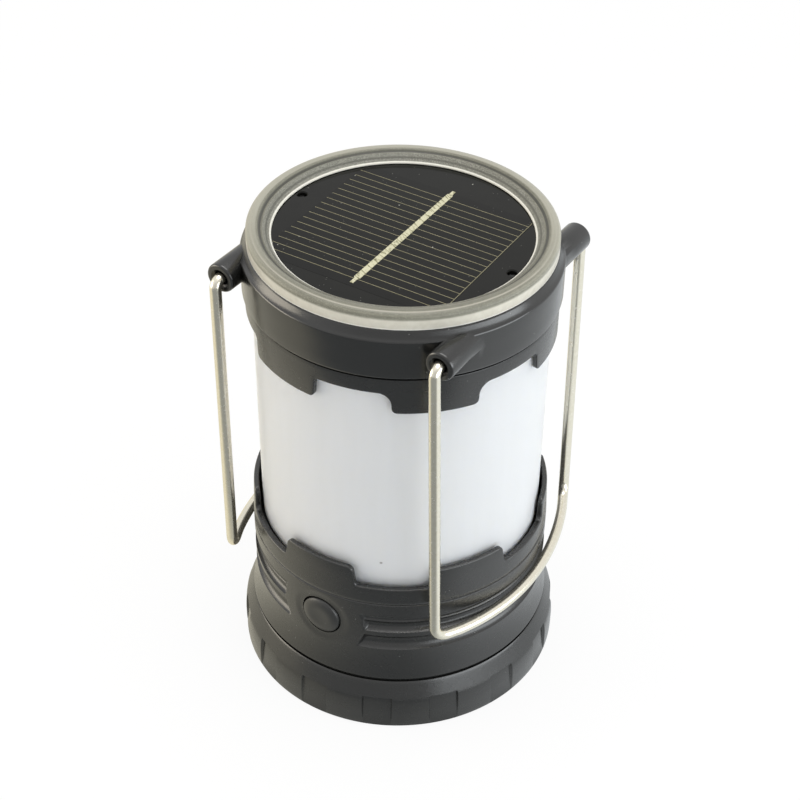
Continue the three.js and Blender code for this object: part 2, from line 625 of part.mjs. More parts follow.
function buildHousing() {
  const lugTop = COVER_LUG_Z - RUN_GAP;
  const lugs = bayonetLugs(SPIGOT_RADIUS - HOUSING_WALL / 2, COVER_INNER - RUN_GAP, lugTop - LUG_HEIGHT);
  const guide = buttonBar(GUIDE_RADIUS, GUIDE_FACE, GUIDE_FACE + HOUSING_WALL, 24);
  const gaps = toothGaps(COLLAR_TOOTH, COLLAR_RADIUS, COLLAR_VALLEY, 1);
  const wall = cut(housingShell(), waistGrooves(), ...gaps);
  const buttonBore = buttonBar(BUTTON_RADIUS + SEAT_GAP, GUIDE_FACE - 1, HOUSING_RADIUS + 2, 24);
  const flangeRoom = buttonBar(BUTTON_RADIUS + BUTTON_FLANGE + RUN_GAP, WAIST_BORE / 2, GUIDE_FACE, 20);
  return cut(joined(wall, guide, ...screwColumns(), ...lugs), buttonBore, flangeRoom, ...columnHoles());
}

// ---------------------------------------------------------------- button and switch

// Turned about its own axis and laid along Y, so that it presses towards +Y.
function buildButton() {
  const flangeRadius = BUTTON_RADIUS + BUTTON_FLANGE;
  const domeRadius = (BUTTON_RADIUS ** 2 + BUTTON_DOME ** 2) / (2 * BUTTON_DOME);
  const rim = THREE.MathUtils.radToDeg(Math.asin((BUTTON_RADIUS - BUTTON_EDGE) / domeRadius));
  const domeTop = BUTTON_FACE + BUTTON_DOME;
  const dome = arc(0, domeTop - domeRadius, domeRadius, 90 - rim, 90, 3).slice(0, -1);
  return turned([
    [0, STEM_END], [BUTTON_STEM, STEM_END], [BUTTON_STEM, FLANGE_BACK], [flangeRadius, FLANGE_BACK],
    [flangeRadius, FLANGE_FRONT], [BUTTON_RADIUS, FLANGE_FRONT], [BUTTON_RADIUS, BUTTON_FACE - BUTTON_EDGE],
    ...dome, [0, domeTop],
  ], 24).rotate([90, 0, 0]).translate([BUTTON_ASIDE, 0, BUTTON_Z]);
}

function buildPlunger() {
  return buttonBar(PLUNGER_RADIUS, SWITCH_FRONT - PLUNGER_HELD, PLUNGER_TIP);
}

function buildSwitch() {
  const half = SWITCH_SIZE / 2;
  const [left, right] = [BUTTON_ASIDE - half, BUTTON_ASIDE + half];
  const body = box(left, right, -SWITCH_FRONT, SWITCH_DEPTH - SWITCH_FRONT, PARTS_Z, PARTS_Z + SWITCH_SIZE);
  const boreEnd = SWITCH_FRONT - PLUNGER_HELD - BUTTON_TRAVEL - RUN_GAP;
  return body.subtract(buttonBar(PLUNGER_RADIUS + RUN_GAP, boreEnd, SWITCH_FRONT + 1));
}

// ---------------------------------------------------------------- lamp deck and electronics

function buildDeck() {
  const plate = tube(LEAD_BORE, DECK_RADIUS, DECK_FOOT, DECK_TOP, 32);
  const fence = LED_BOARD_RADIUS + SEAT_GAP;
  const fenceTop = LED_BOARD_FOOT + BOARD_THICKNESS / 2;
  const rim = tube(fence, fence + 1.2, DECK_TOP - 0.5, fenceTop, 20);
  const posts = ringOf(disc(POST_RADIUS, PARTS_Z, DECK_FOOT + 0.5), POST_CIRCLE, postDirections);
  const postHoles = ringOf(screwHole(PARTS_Z - 1, PARTS_Z + SCREW_LENGTH), POST_CIRCLE, postDirections);
  const screwHoles = ringOf(screwHole(DECK_FOOT - 1, DECK_TOP + 1), COLUMN_CIRCLE, columnDirections);
  return cut(joined(plate, rim, ...posts), ...postHoles, ...screwHoles);
}

// The lens is a low dome on the chip's square body.
function buildLed() {
  const half = LED_SIZE / 2;
  const body = box(-half, half, -half, half, 0, LED_HEIGHT);
  const dome = arc(0, LED_HEIGHT, LED_LENS, 0, 45, 1);
  const lens = turned([[0, 0.3], [LED_LENS, 0.3], ...dome, [0, LED_HEIGHT + LED_LENS]], 8);
  return body.add(lens);
}

function buildControlBoard() {
  const plate = disc(BOARD_RADIUS, CONTROL_BOARD_FOOT, CONTROL_BOARD_TOP, 24);
  const hole = screwHole(CONTROL_BOARD_FOOT - 1, CONTROL_BOARD_TOP + 1);
  return cut(plate, ...ringOf(hole, POST_CIRCLE, postDirections));
}

// A drum core with its winding drawn in between two flanges.
function buildInductor() {
  const [r, h] = [INDUCTOR_RADIUS, INDUCTOR_HEIGHT];
  const flange = h * 0.18;
  return turned([
    [0, 0], [r, 0], [r, flange], [r * 0.75, flange * 1.6],
    [r * 0.75, h - flange * 1.6], [r, h - flange], [r, h], [0, h],
  ], 12);
}

// A flat chip with a dimple at its first corner.
function buildChip() {
  const half = CHIP_SIZE / 2;
  const body = box(-half, half, -half, half, 0, CHIP_HEIGHT);
  const dimple = disc(0.5, CHIP_HEIGHT - 0.2, CHIP_HEIGHT + 1, 8);
  return body.subtract(dimple.translate([1.1 - half, half - 1.1, 0]));
}

// ---------------------------------------------------------------- battery

const cellMiddles = Array.from({ length: CELL_COUNT }, (_, i) => (i - (CELL_COUNT - 1) / 2) * CELL_PITCH);

// A round cell along X: sleeve, crimped neck and the raised contact at its +X end.
function buildCell() {
  const [r, end] = [CELL_RADIUS, CELL_LENGTH / 2];
  return turned([
    [0, -end], [r - 0.6, -end], [r, 0.6 - end], [r, end - 1.6], [r - 0.9, end],
    [CELL_NUB_RADIUS, end], [CELL_NUB_RADIUS, end + CELL_NUB_LENGTH], [0, end + CELL_NUB_LENGTH],
  ], 16).rotate([0, 90, 0]);
}

// A plate across the compartment, with walls between and around the cells.
function buildTray() {
  const plate = disc(LOWER_BORE - RUN_GAP, TRAY_FOOT, TRAY_TOP, TURN_FACETS);
  const halfX = CONTACT_FACE + CONTACT_THICKNESS + SEAT_GAP;
  const bayHalf = CELL_RADIUS + RUN_GAP;
  const halfY = cellMiddles[CELL_COUNT - 1] + bayHalf;
  const [wallX, wallY] = [halfX + TRAY_WALL, halfY + TRAY_WALL];
  const foot = TRAY_FOOT - TRAY_REACH;
  const block = box(-wallX, wallX, -wallY, wallY, foot, TRAY_FOOT + 0.5);
  const bays = cellMiddles.map((y) => box(-halfX, halfX, y - bayHalf, y + bayHalf, foot - 1, TRAY_FOOT));
  [[-halfX, -BAY_HALF], [BAY_HALF, halfX]].forEach(([x1, x2]) => {
    bays.push(box(x1, x2, -halfY, halfY, foot - 1, TRAY_FOOT)); // room for the contact plates
  });
  const holes = ringOf(screwHole(TRAY_FOOT - 1, TRAY_TOP + 1), COLUMN_CIRCLE, columnDirections);
  return cut(plate.add(block), ...bays, ...holes);
}

// Conical contact spring: a helix of wire that widens from the cell at x = 0 towards its plate.
function buildSpring() {
  const steps = SPRING_TURNS * 6;
  const base = CELL_RADIUS - SPRING_TIP;
  const stations = [];
  for (let i = 0; i <= steps; i += 1) {
    const t = i / steps;
    const [y, z] = onCircle(SPRING_TIP + (base - SPRING_TIP) * t, 360 * SPRING_TURNS * t);
    stations.push(new THREE.Vector3(-SPRING_WIRE - (SPRING_SPACE - 2 * SPRING_WIRE) * t, y, z));
  }
  return swept(stations, SPRING_WIRE, 4);
}

// A strip of spring steel that serves the cells `from` to `to` at one end of the tray.
function buildContactPlate(side, from, to) {
  const half = CELL_RADIUS - RUN_GAP;
  const [near, far] = [CONTACT_FACE, CONTACT_FACE + CONTACT_THICKNESS];
  const [x1, x2] = side > 0 ? [near, far] : [-far, -near];
  const [y1, y2] = [cellMiddles[from] - half, cellMiddles[to] + half];
  return box(x1, x2, y1, y2, TRAY_FOOT - TRAY_REACH, TRAY_FOOT - RUN_GAP);
}

// ---------------------------------------------------------------- swept wire

// A route given as stations, so that straight stretches need few and bends get many.
class Route extends THREE.Curve {
  constructor(stations) {
    super();
    this.stations = stations;
  }

  getPointAt(u) {
    return this.stations[Math.round(u * (this.stations.length - 1))].clone();
  }

  getTangentAt(u) {
    const last = this.stations.length - 1;
    const i = Math.round(u * last);
    const here = this.stations[i];
    const into = here.clone().sub(this.stations[Math.max(i - 1, 0)]).normalize();
    const out = this.stations[Math.min(i + 1, last)].clone().sub(here).normalize();
    return into.add(out).normalize();
  }
}

function swept(stations, radius, facets) {
  const round = arc(0, 0, radius, 0, 360, facets).slice(0, -1);
  const section = new THREE.Shape(round.map(([x, y]) => new THREE.Vector2(x, y)));
  const options = { steps: stations.length - 1, extrudePath: new Route(stations), bevelEnabled: false };
  return toSolid(new THREE.ExtrudeGeometry(section, options));
}

// Rounds the corner `at` between two straight stretches.
function bend(from, at, to, radius, steps) {
  const into = from.clone().sub(at).normalize();
  const out = to.clone().sub(at).normalize();
  const half = into.angleTo(out) / 2;
  const inwards = into.clone().add(out).normalize();
  const middle = at.clone().addScaledVector(inwards, radius / Math.sin(half));
  const start = at.clone().addScaledVector(into, radius / Math.tan(half)).sub(middle);
  const end = at.clone().addScaledVector(out, radius / Math.tan(half)).sub(middle);
  const axis = start.clone().cross(end).normalize();
  const turn = start.angleTo(end) / steps;
  return Array.from({ length: steps + 1 }, (_, i) => (
    start.clone().applyAxisAngle(axis, turn * i).add(middle)
  ));
}

// ---------------------------------------------------------------- bails

// One bail, hanging, seen from its hinge axis: x is outwards, y along the axis and z up.
// Pin, bend, leg, bend and bowed bar down one side, and the same back up the other.
function bailStations() {
  const pinStart = new THREE.Vector3(0, EAR_END - PIN_LENGTH, 0);
  const elbow = new THREE.Vector3(0, LEG_Y, 0);
  const corner = new THREE.Vector3(LEG_LEAN, LEG_Y, -LEG_LENGTH);
  const outwards = new THREE.Vector3(Math.cos(rad(BAR_DROOP)), 0, -Math.sin(rad(BAR_DROOP)));
  const bowRadius = (LEG_Y ** 2 + BOW ** 2) / (2 * BOW);
  const halfAngle = Math.asin(LEG_Y / bowRadius);
  const barPoint = (share) => {
    const a = halfAngle * share;
    const out = BOW - bowRadius * (1 - Math.cos(a));
    return new THREE.Vector3(LEG_LEAN, bowRadius * Math.sin(a), -LEG_LENGTH).addScaledVector(outwards, out);
  };
  const straightFrom = 0.8; // the bar runs in a curve up to here and then straight into its bend
  const barSteps = 8;
  const bar = Array.from({ length: barSteps + 1 }, (_, i) => (
    barPoint(straightFrom * (1 - (2 * i) / barSteps))
  ));
  const down = [
    pinStart,
    ...bend(pinStart, elbow, corner, PIN_BEND, 4),
    ...bend(elbow, corner, bar[0], BAR_BEND, 5),
  ];
  const up = down.map((p) => new THREE.Vector3(p.x, -p.y, p.z)).reverse();
  return [...down, ...bar, ...up];
}

// ---------------------------------------------------------------- diffuser, skirt and cap

// An inward flange at the neck's top lets the reflector clamp the diffuser and the skirt to the cap.
function buildDiffuser() {
  const spigotTop = DIFFUSER_FOOT + DIFFUSER_SPIGOT;
  return turned([
    [DIFFUSER_FOOT_RADIUS, DIFFUSER_FOOT], [DIFFUSER_FOOT_RADIUS, spigotTop],
    [DIFFUSER_RADIUS, spigotTop + DIFFUSER_STEP / 2], [DIFFUSER_RADIUS, DIFFUSER_SHOULDER],
    [NECK_RADIUS, DIFFUSER_SHOULDER], [NECK_RADIUS, NECK_TOP],
    [NECK_BORE - NECK_LIP, NECK_TOP], [NECK_BORE - NECK_LIP, NECK_TOP - NECK_WALL],
    [NECK_BORE, NECK_TOP - NECK_WALL], [NECK_BORE, DIFFUSER_SHOULDER - NECK_WALL],
    [DIFFUSER_BORE, DIFFUSER_SHOULDER - 2 * NECK_WALL],
    [DIFFUSER_BORE, spigotTop + 2], [DIFFUSER_FOOT_BORE, DIFFUSER_FOOT],
  ]);
}

// The teeth hang down outside the diffuser, and a tongue above the flange sits inside the cap.
function buildSkirt() {
  const tongueBore = NECK_RADIUS + RUN_GAP;
  const tongueRadius = CAP_INNER - RUN_GAP;
  const tongueTop = NECK_TOP - SEAT_GAP;
  const ring = turned([
    [tongueBore, SKIRT_FLANGE_Z], [SKIRT_BORE, SKIRT_FLANGE_Z], [SKIRT_BORE, SKIRT_TIP],
    [SKIRT_RADIUS, SKIRT_TIP], [SKIRT_RADIUS, SKIRT_TOP], [tongueRadius, SKIRT_TOP],
    [tongueRadius, tongueTop], [tongueBore, tongueTop],
  ]);
  return cut(ring, ...toothGaps(SKIRT_TOOTH, SKIRT_RADIUS, SKIRT_NOTCH, -1));
}

// Copies a solid that stands on Z so that one lies along Y on each of the four ear axes.
function onEarAxes(solid) {
  return [[1, 1], [1, -1], [-1, 1], [-1, -1]].map(([sideX, sideY]) => (
    solid.rotate([-sideY * 90, 0, 0]).translate([sideX * HINGE_X, 0, HINGE_Z])
  ));
}

// Tubes moulded against the cap's wall, rounded where they fade in.
function earTubes() {
  const root = EAR_END - EAR_LENGTH;
  return onEarAxes(turned([
    [0, root - EAR_RADIUS], ...arc(0, root, EAR_RADIUS, 300, 360, 2),
    [EAR_RADIUS, EAR_END - EAR_CHAMFER], [EAR_RADIUS - EAR_CHAMFER, EAR_END], [0, EAR_END],
  ], 16));
}

// The cap is a shell; the rim's pocket is cut once the ears are on, so that none stands up in it.
function buildCap() {
  const shell = turned([
    [CAP_INNER, CAP_FOOT], [CAP_RADIUS - CAP_BEVEL, CAP_FOOT], [CAP_RADIUS, CAP_FOOT + CAP_BEVEL],
    [CAP_RADIUS, CAP_SHOULDER_Z], [CAP_RADIUS - 0.35, CAP_SHOULDER_Z + 0.3],
    [CAP_TOP_RADIUS, CAP_TOP], [LEAD_BORE, CAP_TOP], [LEAD_BORE, CAP_CEILING],
    [CAP_INNER - 1, CAP_CEILING], [CAP_INNER, CAP_CEILING - 1],
  ]);
  const bossFoot = REFLECTOR_TOP + SEAT_GAP;
  const bosses = ringOf(disc(BOSS_RADIUS, bossFoot, CAP_CEILING + 0.5), BOSS_CIRCLE, bossDirections);
  const pocket = disc(POCKET_RADIUS, CAP_DECK_Z, CAP_TOP + 1, TURN_FACETS);
  const body = cut(joined(shell, ...bosses, ...earTubes()), pocket);
  const pin = disc(PANEL_HOLE - SEAT_GAP, CAP_DECK_Z - 1, PANEL_TOP - PIN_SHORT);
  const pins = ringOf(pin, PANEL_HOLE_CIRCLE, holeDirections);
  const earBores = onEarAxes(disc(EAR_BORE, EAR_END - EAR_BORE_DEPTH, EAR_END + 1));
  const screwTop = REFLECTOR_FOOT - BOND_LINE + SCREW_LENGTH + HOLE_SPARE;
  const screwHoles = ringOf(screwHole(bossFoot - 1, screwTop), BOSS_CIRCLE, bossDirections);
  return cut(joined(body, ...pins), ...earBores, ...screwHoles);
}

// ---------------------------------------------------------------- reflector, panel and rim

// A white plate with a hollow cone that throws the light outwards; its tip holds the lead tube.
function buildReflector() {
  const mouth = TUBE_RADIUS + SEAT_GAP;
  const waist = REFLECTOR_CONE * 0.45;
  const waistDrop = REFLECTOR_DROP * 0.42;
  const socketTop = REFLECTOR_TIP + TUBE_SOCKET;
  const plate = turned([
    [mouth, REFLECTOR_TIP], [mouth + 1.2, REFLECTOR_TIP], [waist, REFLECTOR_FOOT - waistDrop],
    [REFLECTOR_CONE, REFLECTOR_FOOT], [REFLECTOR_RADIUS, REFLECTOR_FOOT], [REFLECTOR_RADIUS, REFLECTOR_TOP],
    [REFLECTOR_CONE, REFLECTOR_TOP], [waist, REFLECTOR_TOP - waistDrop], [mouth + 1.2, socketTop + 1.6],
    [LEAD_BORE, socketTop + 1.6], [LEAD_BORE, socketTop], [mouth, socketTop],
  ], 24);
  const hole = screwHole(REFLECTOR_FOOT - 1, REFLECTOR_TOP + 1);
  return cut(plate, ...ringOf(hole, BOSS_CIRCLE, bossDirections));
}

function buildPanel() {
  const plate = disc(PANEL_RADIUS, PANEL_FOOT, PANEL_TOP, TURN_FACETS);
  const hole = disc(PANEL_HOLE, PANEL_FOOT - 1, PANEL_TOP + 1);
  return cut(plate, ...ringOf(hole, PANEL_HOLE_CIRCLE, holeDirections));
}

// The square wafer with its corners clipped by the round opening.
function buildSolarCell() {
  const [halfX, halfY] = [CELL_PLATE_X / 2, CELL_PLATE_Y / 2];
  const foot = PANEL_TOP + BOND_LINE;
  const square = box(-halfX, halfX, -halfY, halfY, foot, foot + CELL_PLATE_THICKNESS);
  const laid = square.rotate([0, 0, CELL_PLATE_TURN]).translate([0, CELL_PLATE_SHIFT, 0]);
  return laid.intersect(disc(RIM_OPENING - CELL_PLATE_MARGIN, foot - 1, foot + 2, TURN_FACETS));
}

// A rounded outer shoulder, a flat crest, a fine groove, an inner slope and a thin lip.
function buildRim() {
  const crest = RIM_OUTER - RIM_SHOULDER;
  const groove = crest - RIM_CREST;
  const slope = groove - RIM_GROOVE;
  const lip = slope - RIM_SLOPE;
  const lipTop = RIM_TOP - RIM_LIP_DROP;
  const lipFoot = PANEL_TOP + SEAT_GAP;
  const seat = PANEL_RADIUS + SEAT_GAP;
  return turned([
    [RIM_SPIGOT, RIM_FOOT], [RIM_OUTER, RIM_FOOT], [RIM_OUTER, RIM_TOP - 1.1],
    [RIM_OUTER - 0.4, RIM_TOP - 0.4], [crest, RIM_TOP], [groove, RIM_TOP - 0.1],
    [groove - RIM_GROOVE / 2, RIM_TOP - 0.8], [slope, RIM_TOP - 0.7], [lip, lipTop + 0.2],
    [RIM_OPENING, lipTop], [RIM_OPENING, lipFoot], [seat, lipFoot],
    [seat, CAP_DECK_Z + SEAT_GAP], [RIM_SPIGOT, CAP_DECK_Z + SEAT_GAP],
  ]);
}

// ---------------------------------------------------------------- assembly

// Adds one copy of a piece at each direction round a circle, numbered from 1.
function addRing(parent, name, solid, look, radius, directions, z) {
  directions.forEach((degrees, i) => {
    addPiece(parent, `${name}_${i + 1}`, solid, look, [...onCircle(radius, degrees), z]);
  });
}

function assembleBase(base) {
  addPiece(base, 'base_cover', buildBaseCover(), BLACK_SATIN);
  addRing(base, 'foot', buildFoot(), RUBBER, FOOT_CIRCLE, footDirections, 0);
  const gasketZ = COVER_TOP - COVER_EDGE;
  addPiece(base, 'base_gasket', seal((COVER_INNER + SPIGOT_RADIUS) / 2, gasketZ), RUBBER);
  addPiece(base, 'housing', buildHousing(), BLACK_SATIN);
  addPiece(base, 'power_button', buildButton(), BLACK_SATIN);
  addPiece(base, 'switch_plunger', buildPlunger(), BLACK_PART);
  addPiece(base, 'tact_switch', buildSwitch(), BLACK_PART);
}

// The cells lie head to tail, so each end of the tray has springs and plain contacts by turns.
function assembleBattery(battery) {
  addPiece(battery, 'battery_tray', buildTray(), BLACK_PART);
  const upward = screw().rotate([180, 0, 0]);
  addRing(battery, 'tray_screw', upward, STEEL, COLUMN_CIRCLE, columnDirections, TRAY_FOOT - BOND_LINE);
  const shift = (SPRING_SPACE - CELL_NUB_LENGTH) / 2;
  cellMiddles.forEach((y, i) => {
    const head = i % 2 === 0 ? 1 : -1; // the side that the raised contact is on
    const turn = head > 0 ? 0 : 180;
    const cell = buildCell().rotate([0, 0, turn]);
    const spring = buildSpring().rotate([0, 0, turn]);
    const springX = head * (shift - CELL_LENGTH / 2 - BOND_LINE);
    addPiece(battery, `battery_cell_${i + 1}`, cell, CELL_SLEEVE, [head * shift, y, CELL_AXIS_Z]);
    addPiece(battery, `contact_spring_${i + 1}`, spring, STEEL, [springX, y, CELL_AXIS_Z]);
  });
  [[1, 0, 1], [1, 2, 2], [-1, 0, 0], [-1, 1, 2]].forEach(([side, from, to], i) => {
    addPiece(battery, `contact_plate_${i + 1}`, buildContactPlate(side, from, to), STEEL);
  });
  const padFoot = COVER_FLOOR_Z + BOND_LINE;
  const pad = disc(BAY_HALF, padFoot, padFoot + PAD_THICKNESS, 20);
  addPiece(battery, 'battery_pad', pad, FOAM);
}

function assembleLamp(lamp) {
  addPiece(lamp, 'control_board', buildControlBoard(), GREEN_BOARD);
  const upward = screw().rotate([180, 0, 0]);
  addRing(lamp, 'board_screw', upward, STEEL, POST_CIRCLE, postDirections, CONTROL_BOARD_FOOT - BOND_LINE);
  addPiece(lamp, 'inductor', buildInductor(), BLACK_PART, [9, 11, PARTS_Z]);
  addPiece(lamp, 'charge_chip', buildChip(), BLACK_PART, [-8, -9, PARTS_Z]);
  addPiece(lamp, 'lamp_deck', buildDeck(), WHITE_PLASTIC);
  addRing(lamp, 'deck_screw', screw(), STEEL, COLUMN_CIRCLE, columnDirections, DECK_TOP + BOND_LINE);
  const ledBoard = tube(LEAD_BORE, LED_BOARD_RADIUS, LED_BOARD_FOOT, LED_BOARD_TOP, 20);
  addPiece(lamp, 'led_board', ledBoard, WHITE_PLASTIC);
  const lampFoot = LED_BOARD_TOP + BOND_LINE;
  addRing(lamp, 'led', buildLed(), LED_WHITE, LED_CIRCLE, around(LED_COUNT), lampFoot);
  const tubeTop = REFLECTOR_TIP + TUBE_SOCKET - SEAT_GAP;
  addPiece(lamp, 'lead_tube', tube(TUBE_RADIUS - TUBE_WALL, TUBE_RADIUS, lampFoot, tubeTop, 12), CLEAR_TUBE);
  addPiece(lamp, 'panel_lead', disc(LEAD_RADIUS, PARTS_Z, PANEL_FOOT - BOND_LINE), BLACK_PART);
}

function assembleHead(head) {
  const sealRadius = (DIFFUSER_FOOT_RADIUS + COLLAR_BORE) / 2;
  addPiece(head, 'diffuser', buildDiffuser(), OPAL);
  addPiece(head, 'collar_seal', seal(sealRadius, DIFFUSER_FOOT + DIFFUSER_SPIGOT - 2 * SEAL_RADIUS), RUBBER);
  addPiece(head, 'skirt_ring', buildSkirt(), BLACK_SATIN);
  addPiece(head, 'top_cap', buildCap(), BLACK_SATIN);
  addPiece(head, 'reflector', buildReflector(), WHITE_PLASTIC);
  const upward = screw().rotate([180, 0, 0]);
  addRing(head, 'reflector_screw', upward, STEEL, BOSS_CIRCLE, bossDirections, REFLECTOR_FOOT - BOND_LINE);
  const padRadius = PANEL_HOLE_CIRCLE - 2 * PANEL_HOLE;
  addPiece(head, 'panel_pad', tube(LEAD_BORE, padRadius, PANEL_PAD_Z, PANEL_PAD_Z + PANEL_PAD, 20), FOAM);
  addPiece(head, 'solar_panel', buildPanel(), PANEL_BLACK);
  addPiece(head, 'solar_cell', buildSolarCell(), SILICON);
  addPiece(head, 'rim_ring', buildRim(), CLEAR_RIM);
}

// Each bail hangs in a group placed on its hinge axis; the left one is the same wire turned round.
function assembleBail(name, side) {
  const hinge = new THREE.Group();
  hinge.position.set(side * HINGE_X, 0, HINGE_Z);
  hinge.rotation.z = side > 0 ? 0 : Math.PI;
  lantern.add(hinge);
  addPiece(hinge, name, swept(bailStations(), WIRE_RADIUS, WIRE_FACETS), NICKEL);
}

[assembleBase, assembleBattery, assembleLamp, assembleHead].forEach((assemble) => {
  const group = new THREE.Group();
  lantern.add(group);
  assemble(group);
});
assembleBail('bail_right', 1);
assembleBail('bail_left', -1);

export default lantern;
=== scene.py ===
# %% [markdown]
# # A solar camping lantern
# The lantern is dressed piece by piece over its packed model: the model gives each piece's place and its
# moving joints, and every cell below makes one visible piece or one finish. Round pieces with patterns are
# made from drawings of their section, and what repeats is left to Geometry Nodes.

# %% Load the packed model
import json
import math
import bmesh
import bpy
import numpy as np
from mathutils import Matrix, Vector


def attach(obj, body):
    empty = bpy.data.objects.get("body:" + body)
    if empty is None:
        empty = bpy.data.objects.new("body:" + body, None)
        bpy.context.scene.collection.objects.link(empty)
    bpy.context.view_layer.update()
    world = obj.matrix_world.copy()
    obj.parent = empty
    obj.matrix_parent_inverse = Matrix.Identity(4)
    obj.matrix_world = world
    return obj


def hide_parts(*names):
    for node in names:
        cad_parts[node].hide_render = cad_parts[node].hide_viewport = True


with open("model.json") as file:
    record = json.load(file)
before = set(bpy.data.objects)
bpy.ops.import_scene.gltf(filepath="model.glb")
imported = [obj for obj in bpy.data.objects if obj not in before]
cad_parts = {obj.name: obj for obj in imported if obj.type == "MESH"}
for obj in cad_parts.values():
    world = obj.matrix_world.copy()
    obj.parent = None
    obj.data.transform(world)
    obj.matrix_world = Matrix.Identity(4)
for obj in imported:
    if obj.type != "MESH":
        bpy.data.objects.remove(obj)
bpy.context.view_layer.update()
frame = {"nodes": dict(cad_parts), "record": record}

nodes = frame["nodes"]

# %% [markdown]
# ## Camera
# The camera stands where the photograph was taken from: about 33 degrees round to the right and 33 up. A
# camera's axes are the columns of its matrix, so writing right, up and back there aims it without angles. The
# subject sat left of the lens axis, which a horizontal shift repeats. Two directions on the ground, towards
# the lens and to its right, are used again wherever a finish or a light depends on the side.

# %% Place the camera
PICTURE_WIDTH, FOCAL_LENGTH, AXIS_X = 800, 1666.4, 550.2  # in pixels of the photograph
VIEW_SIDE = math.radians(32.8)


def towards_lens(x, y):
    return x * math.sin(VIEW_SIDE) - y * math.cos(VIEW_SIDE)


def towards_right(x, y):
    return x * math.cos(VIEW_SIDE) + y * math.sin(VIEW_SIDE)


scene = bpy.context.scene
camera_data = bpy.data.cameras.new("photo_camera")
camera = bpy.data.objects.new("photo_camera", camera_data)
scene.collection.objects.link(camera)
right = Vector((0.8708, 0.48738, 0.06455)).normalized()
back = Vector((0.346, -0.70082, 0.62381)).normalized()
up = back.cross(right).normalized()
right = up.cross(back)
aim = Matrix((right, up, back)).transposed().to_4x4()
camera.matrix_world = Matrix.Translation((0.20522, -0.31893, 0.39247)) @ aim
camera_data.sensor_width = 36
camera_data.lens = camera_data.sensor_width * FOCAL_LENGTH / PICTURE_WIDTH
camera_data.shift_x = (PICTURE_WIDTH / 2 - AXIS_X) / PICTURE_WIDTH
camera_data.clip_start, camera_data.clip_end = 0.01, 20
scene.camera = camera
print("lens", round(camera_data.lens, 2), "mm, shift", round(camera_data.shift_x, 3))

# %% [markdown]
# ## Arithmetic on node sockets
# Node trees are easier to read as formulas. `Field` wraps one output socket and gives it the usual operators,
# so that `1 - mask * 0.5` adds the Math nodes by itself. The same class serves shaders and Geometry Nodes,
# because both kinds of tree use the same Math nodes.

# %% Field and Tree
class Field:
    """One socket of a node tree, usable in ordinary arithmetic."""

    def __init__(self, tree, socket):
        self.tree, self.socket = tree, socket

    def math(self, operation, *others):
        inputs = dict(enumerate((self, *others)))
        return self.tree.node("ShaderNodeMath", {"operation": operation}, inputs)

    def __add__(self, other): return self.math("ADD", other)
    def __radd__(self, other): return self.math("ADD", other)
    def __sub__(self, other): return self.math("SUBTRACT", other)
    def __rsub__(self, other): return (self * -1) + other
    def __mul__(self, other): return self.math("MULTIPLY", other)
    def __rmul__(self, other): return self.math("MULTIPLY", other)
    def __truediv__(self, other): return self.math("DIVIDE", other)
    def __neg__(self): return self * -1
    def __abs__(self): return self.math("ABSOLUTE")
    def sqrt(self): return self.math("SQRT")
    def least(self, other): return self.math("MINIMUM", other)
    def most(self, other): return self.math("MAXIMUM", other)
    def above(self, other): return self.math("GREATER_THAN", other)
    def below(self, other): return self.math("LESS_THAN", other)

    def rise(self, start, end):
        """0 before start, 1 after end and a soft step between."""
        settings = {"interpolation_type": "SMOOTHSTEP"}
        return self.tree.node("ShaderNodeMapRange", settings, {0: self, 1: start, 2: end, 3: 0.0, 4: 1.0})

    def band(self, start, end, soft):
        """1 between start and end with edges that are `soft` wide."""
        return self.rise(start - soft / 2, start + soft / 2) * (1 - self.rise(end - soft / 2, end + soft / 2))


class Tree:
    """A node tree with one method that adds any node, and short forms for the common ones."""

    def __init__(self, tree):
        self.tree = tree

    def node(self, kind, settings=None, inputs=None, out=0):
        made = self.tree.nodes.new(kind)
        for key, value in (settings or {}).items():
            setattr(made, key, value)
        for key, value in (inputs or {}).items():
            if isinstance(value, Field):
                self.tree.links.new(value.socket, made.inputs[key])
            else:
                made.inputs[key].default_value = value
        return Field(self, made.outputs[out])

    def split(self, vector):
        """The x, y and z of a vector."""
        parts = self.node("ShaderNodeSeparateXYZ", None, {0: vector})
        return [Field(self, s) for s in parts.socket.node.outputs]

    def join(self, x, y, z):
        return self.node("ShaderNodeCombineXYZ", None, {0: x, 1: y, 2: z})

    def mix(self, factor, first, second):
        """A colour between two colours."""
        return self.node("ShaderNodeMix", {"data_type": "RGBA"}, {0: factor, 6: first, 7: second}, out=2)

    def rays(self, *names):
        """For each kind of ray a value that is 1 on such rays."""
        paths = self.node("ShaderNodeLightPath").socket.node
        return [Field(self, paths.outputs[name]) for name in names]

    def end(self, kind, socket):
        """Ends the tree in an output node and returns the plain tree."""
        self.tree.links.new(socket, self.tree.nodes.new(kind).inputs[0])
        return self.tree


print("Field operators:", [name for name in vars(Field) if name.startswith("__")][:12])

# %% [markdown]
# ## Finishes
# Every finish starts from Object coordinates, which are metres in the lantern's own frame. They are turned
# into millimetres, so a grain of 0.3 reads as 0.3 mm. `Surface` holds the tree, the position and the shader,
# and it has the textures that most finishes share: soft mottling, fine grain and scattered specks.

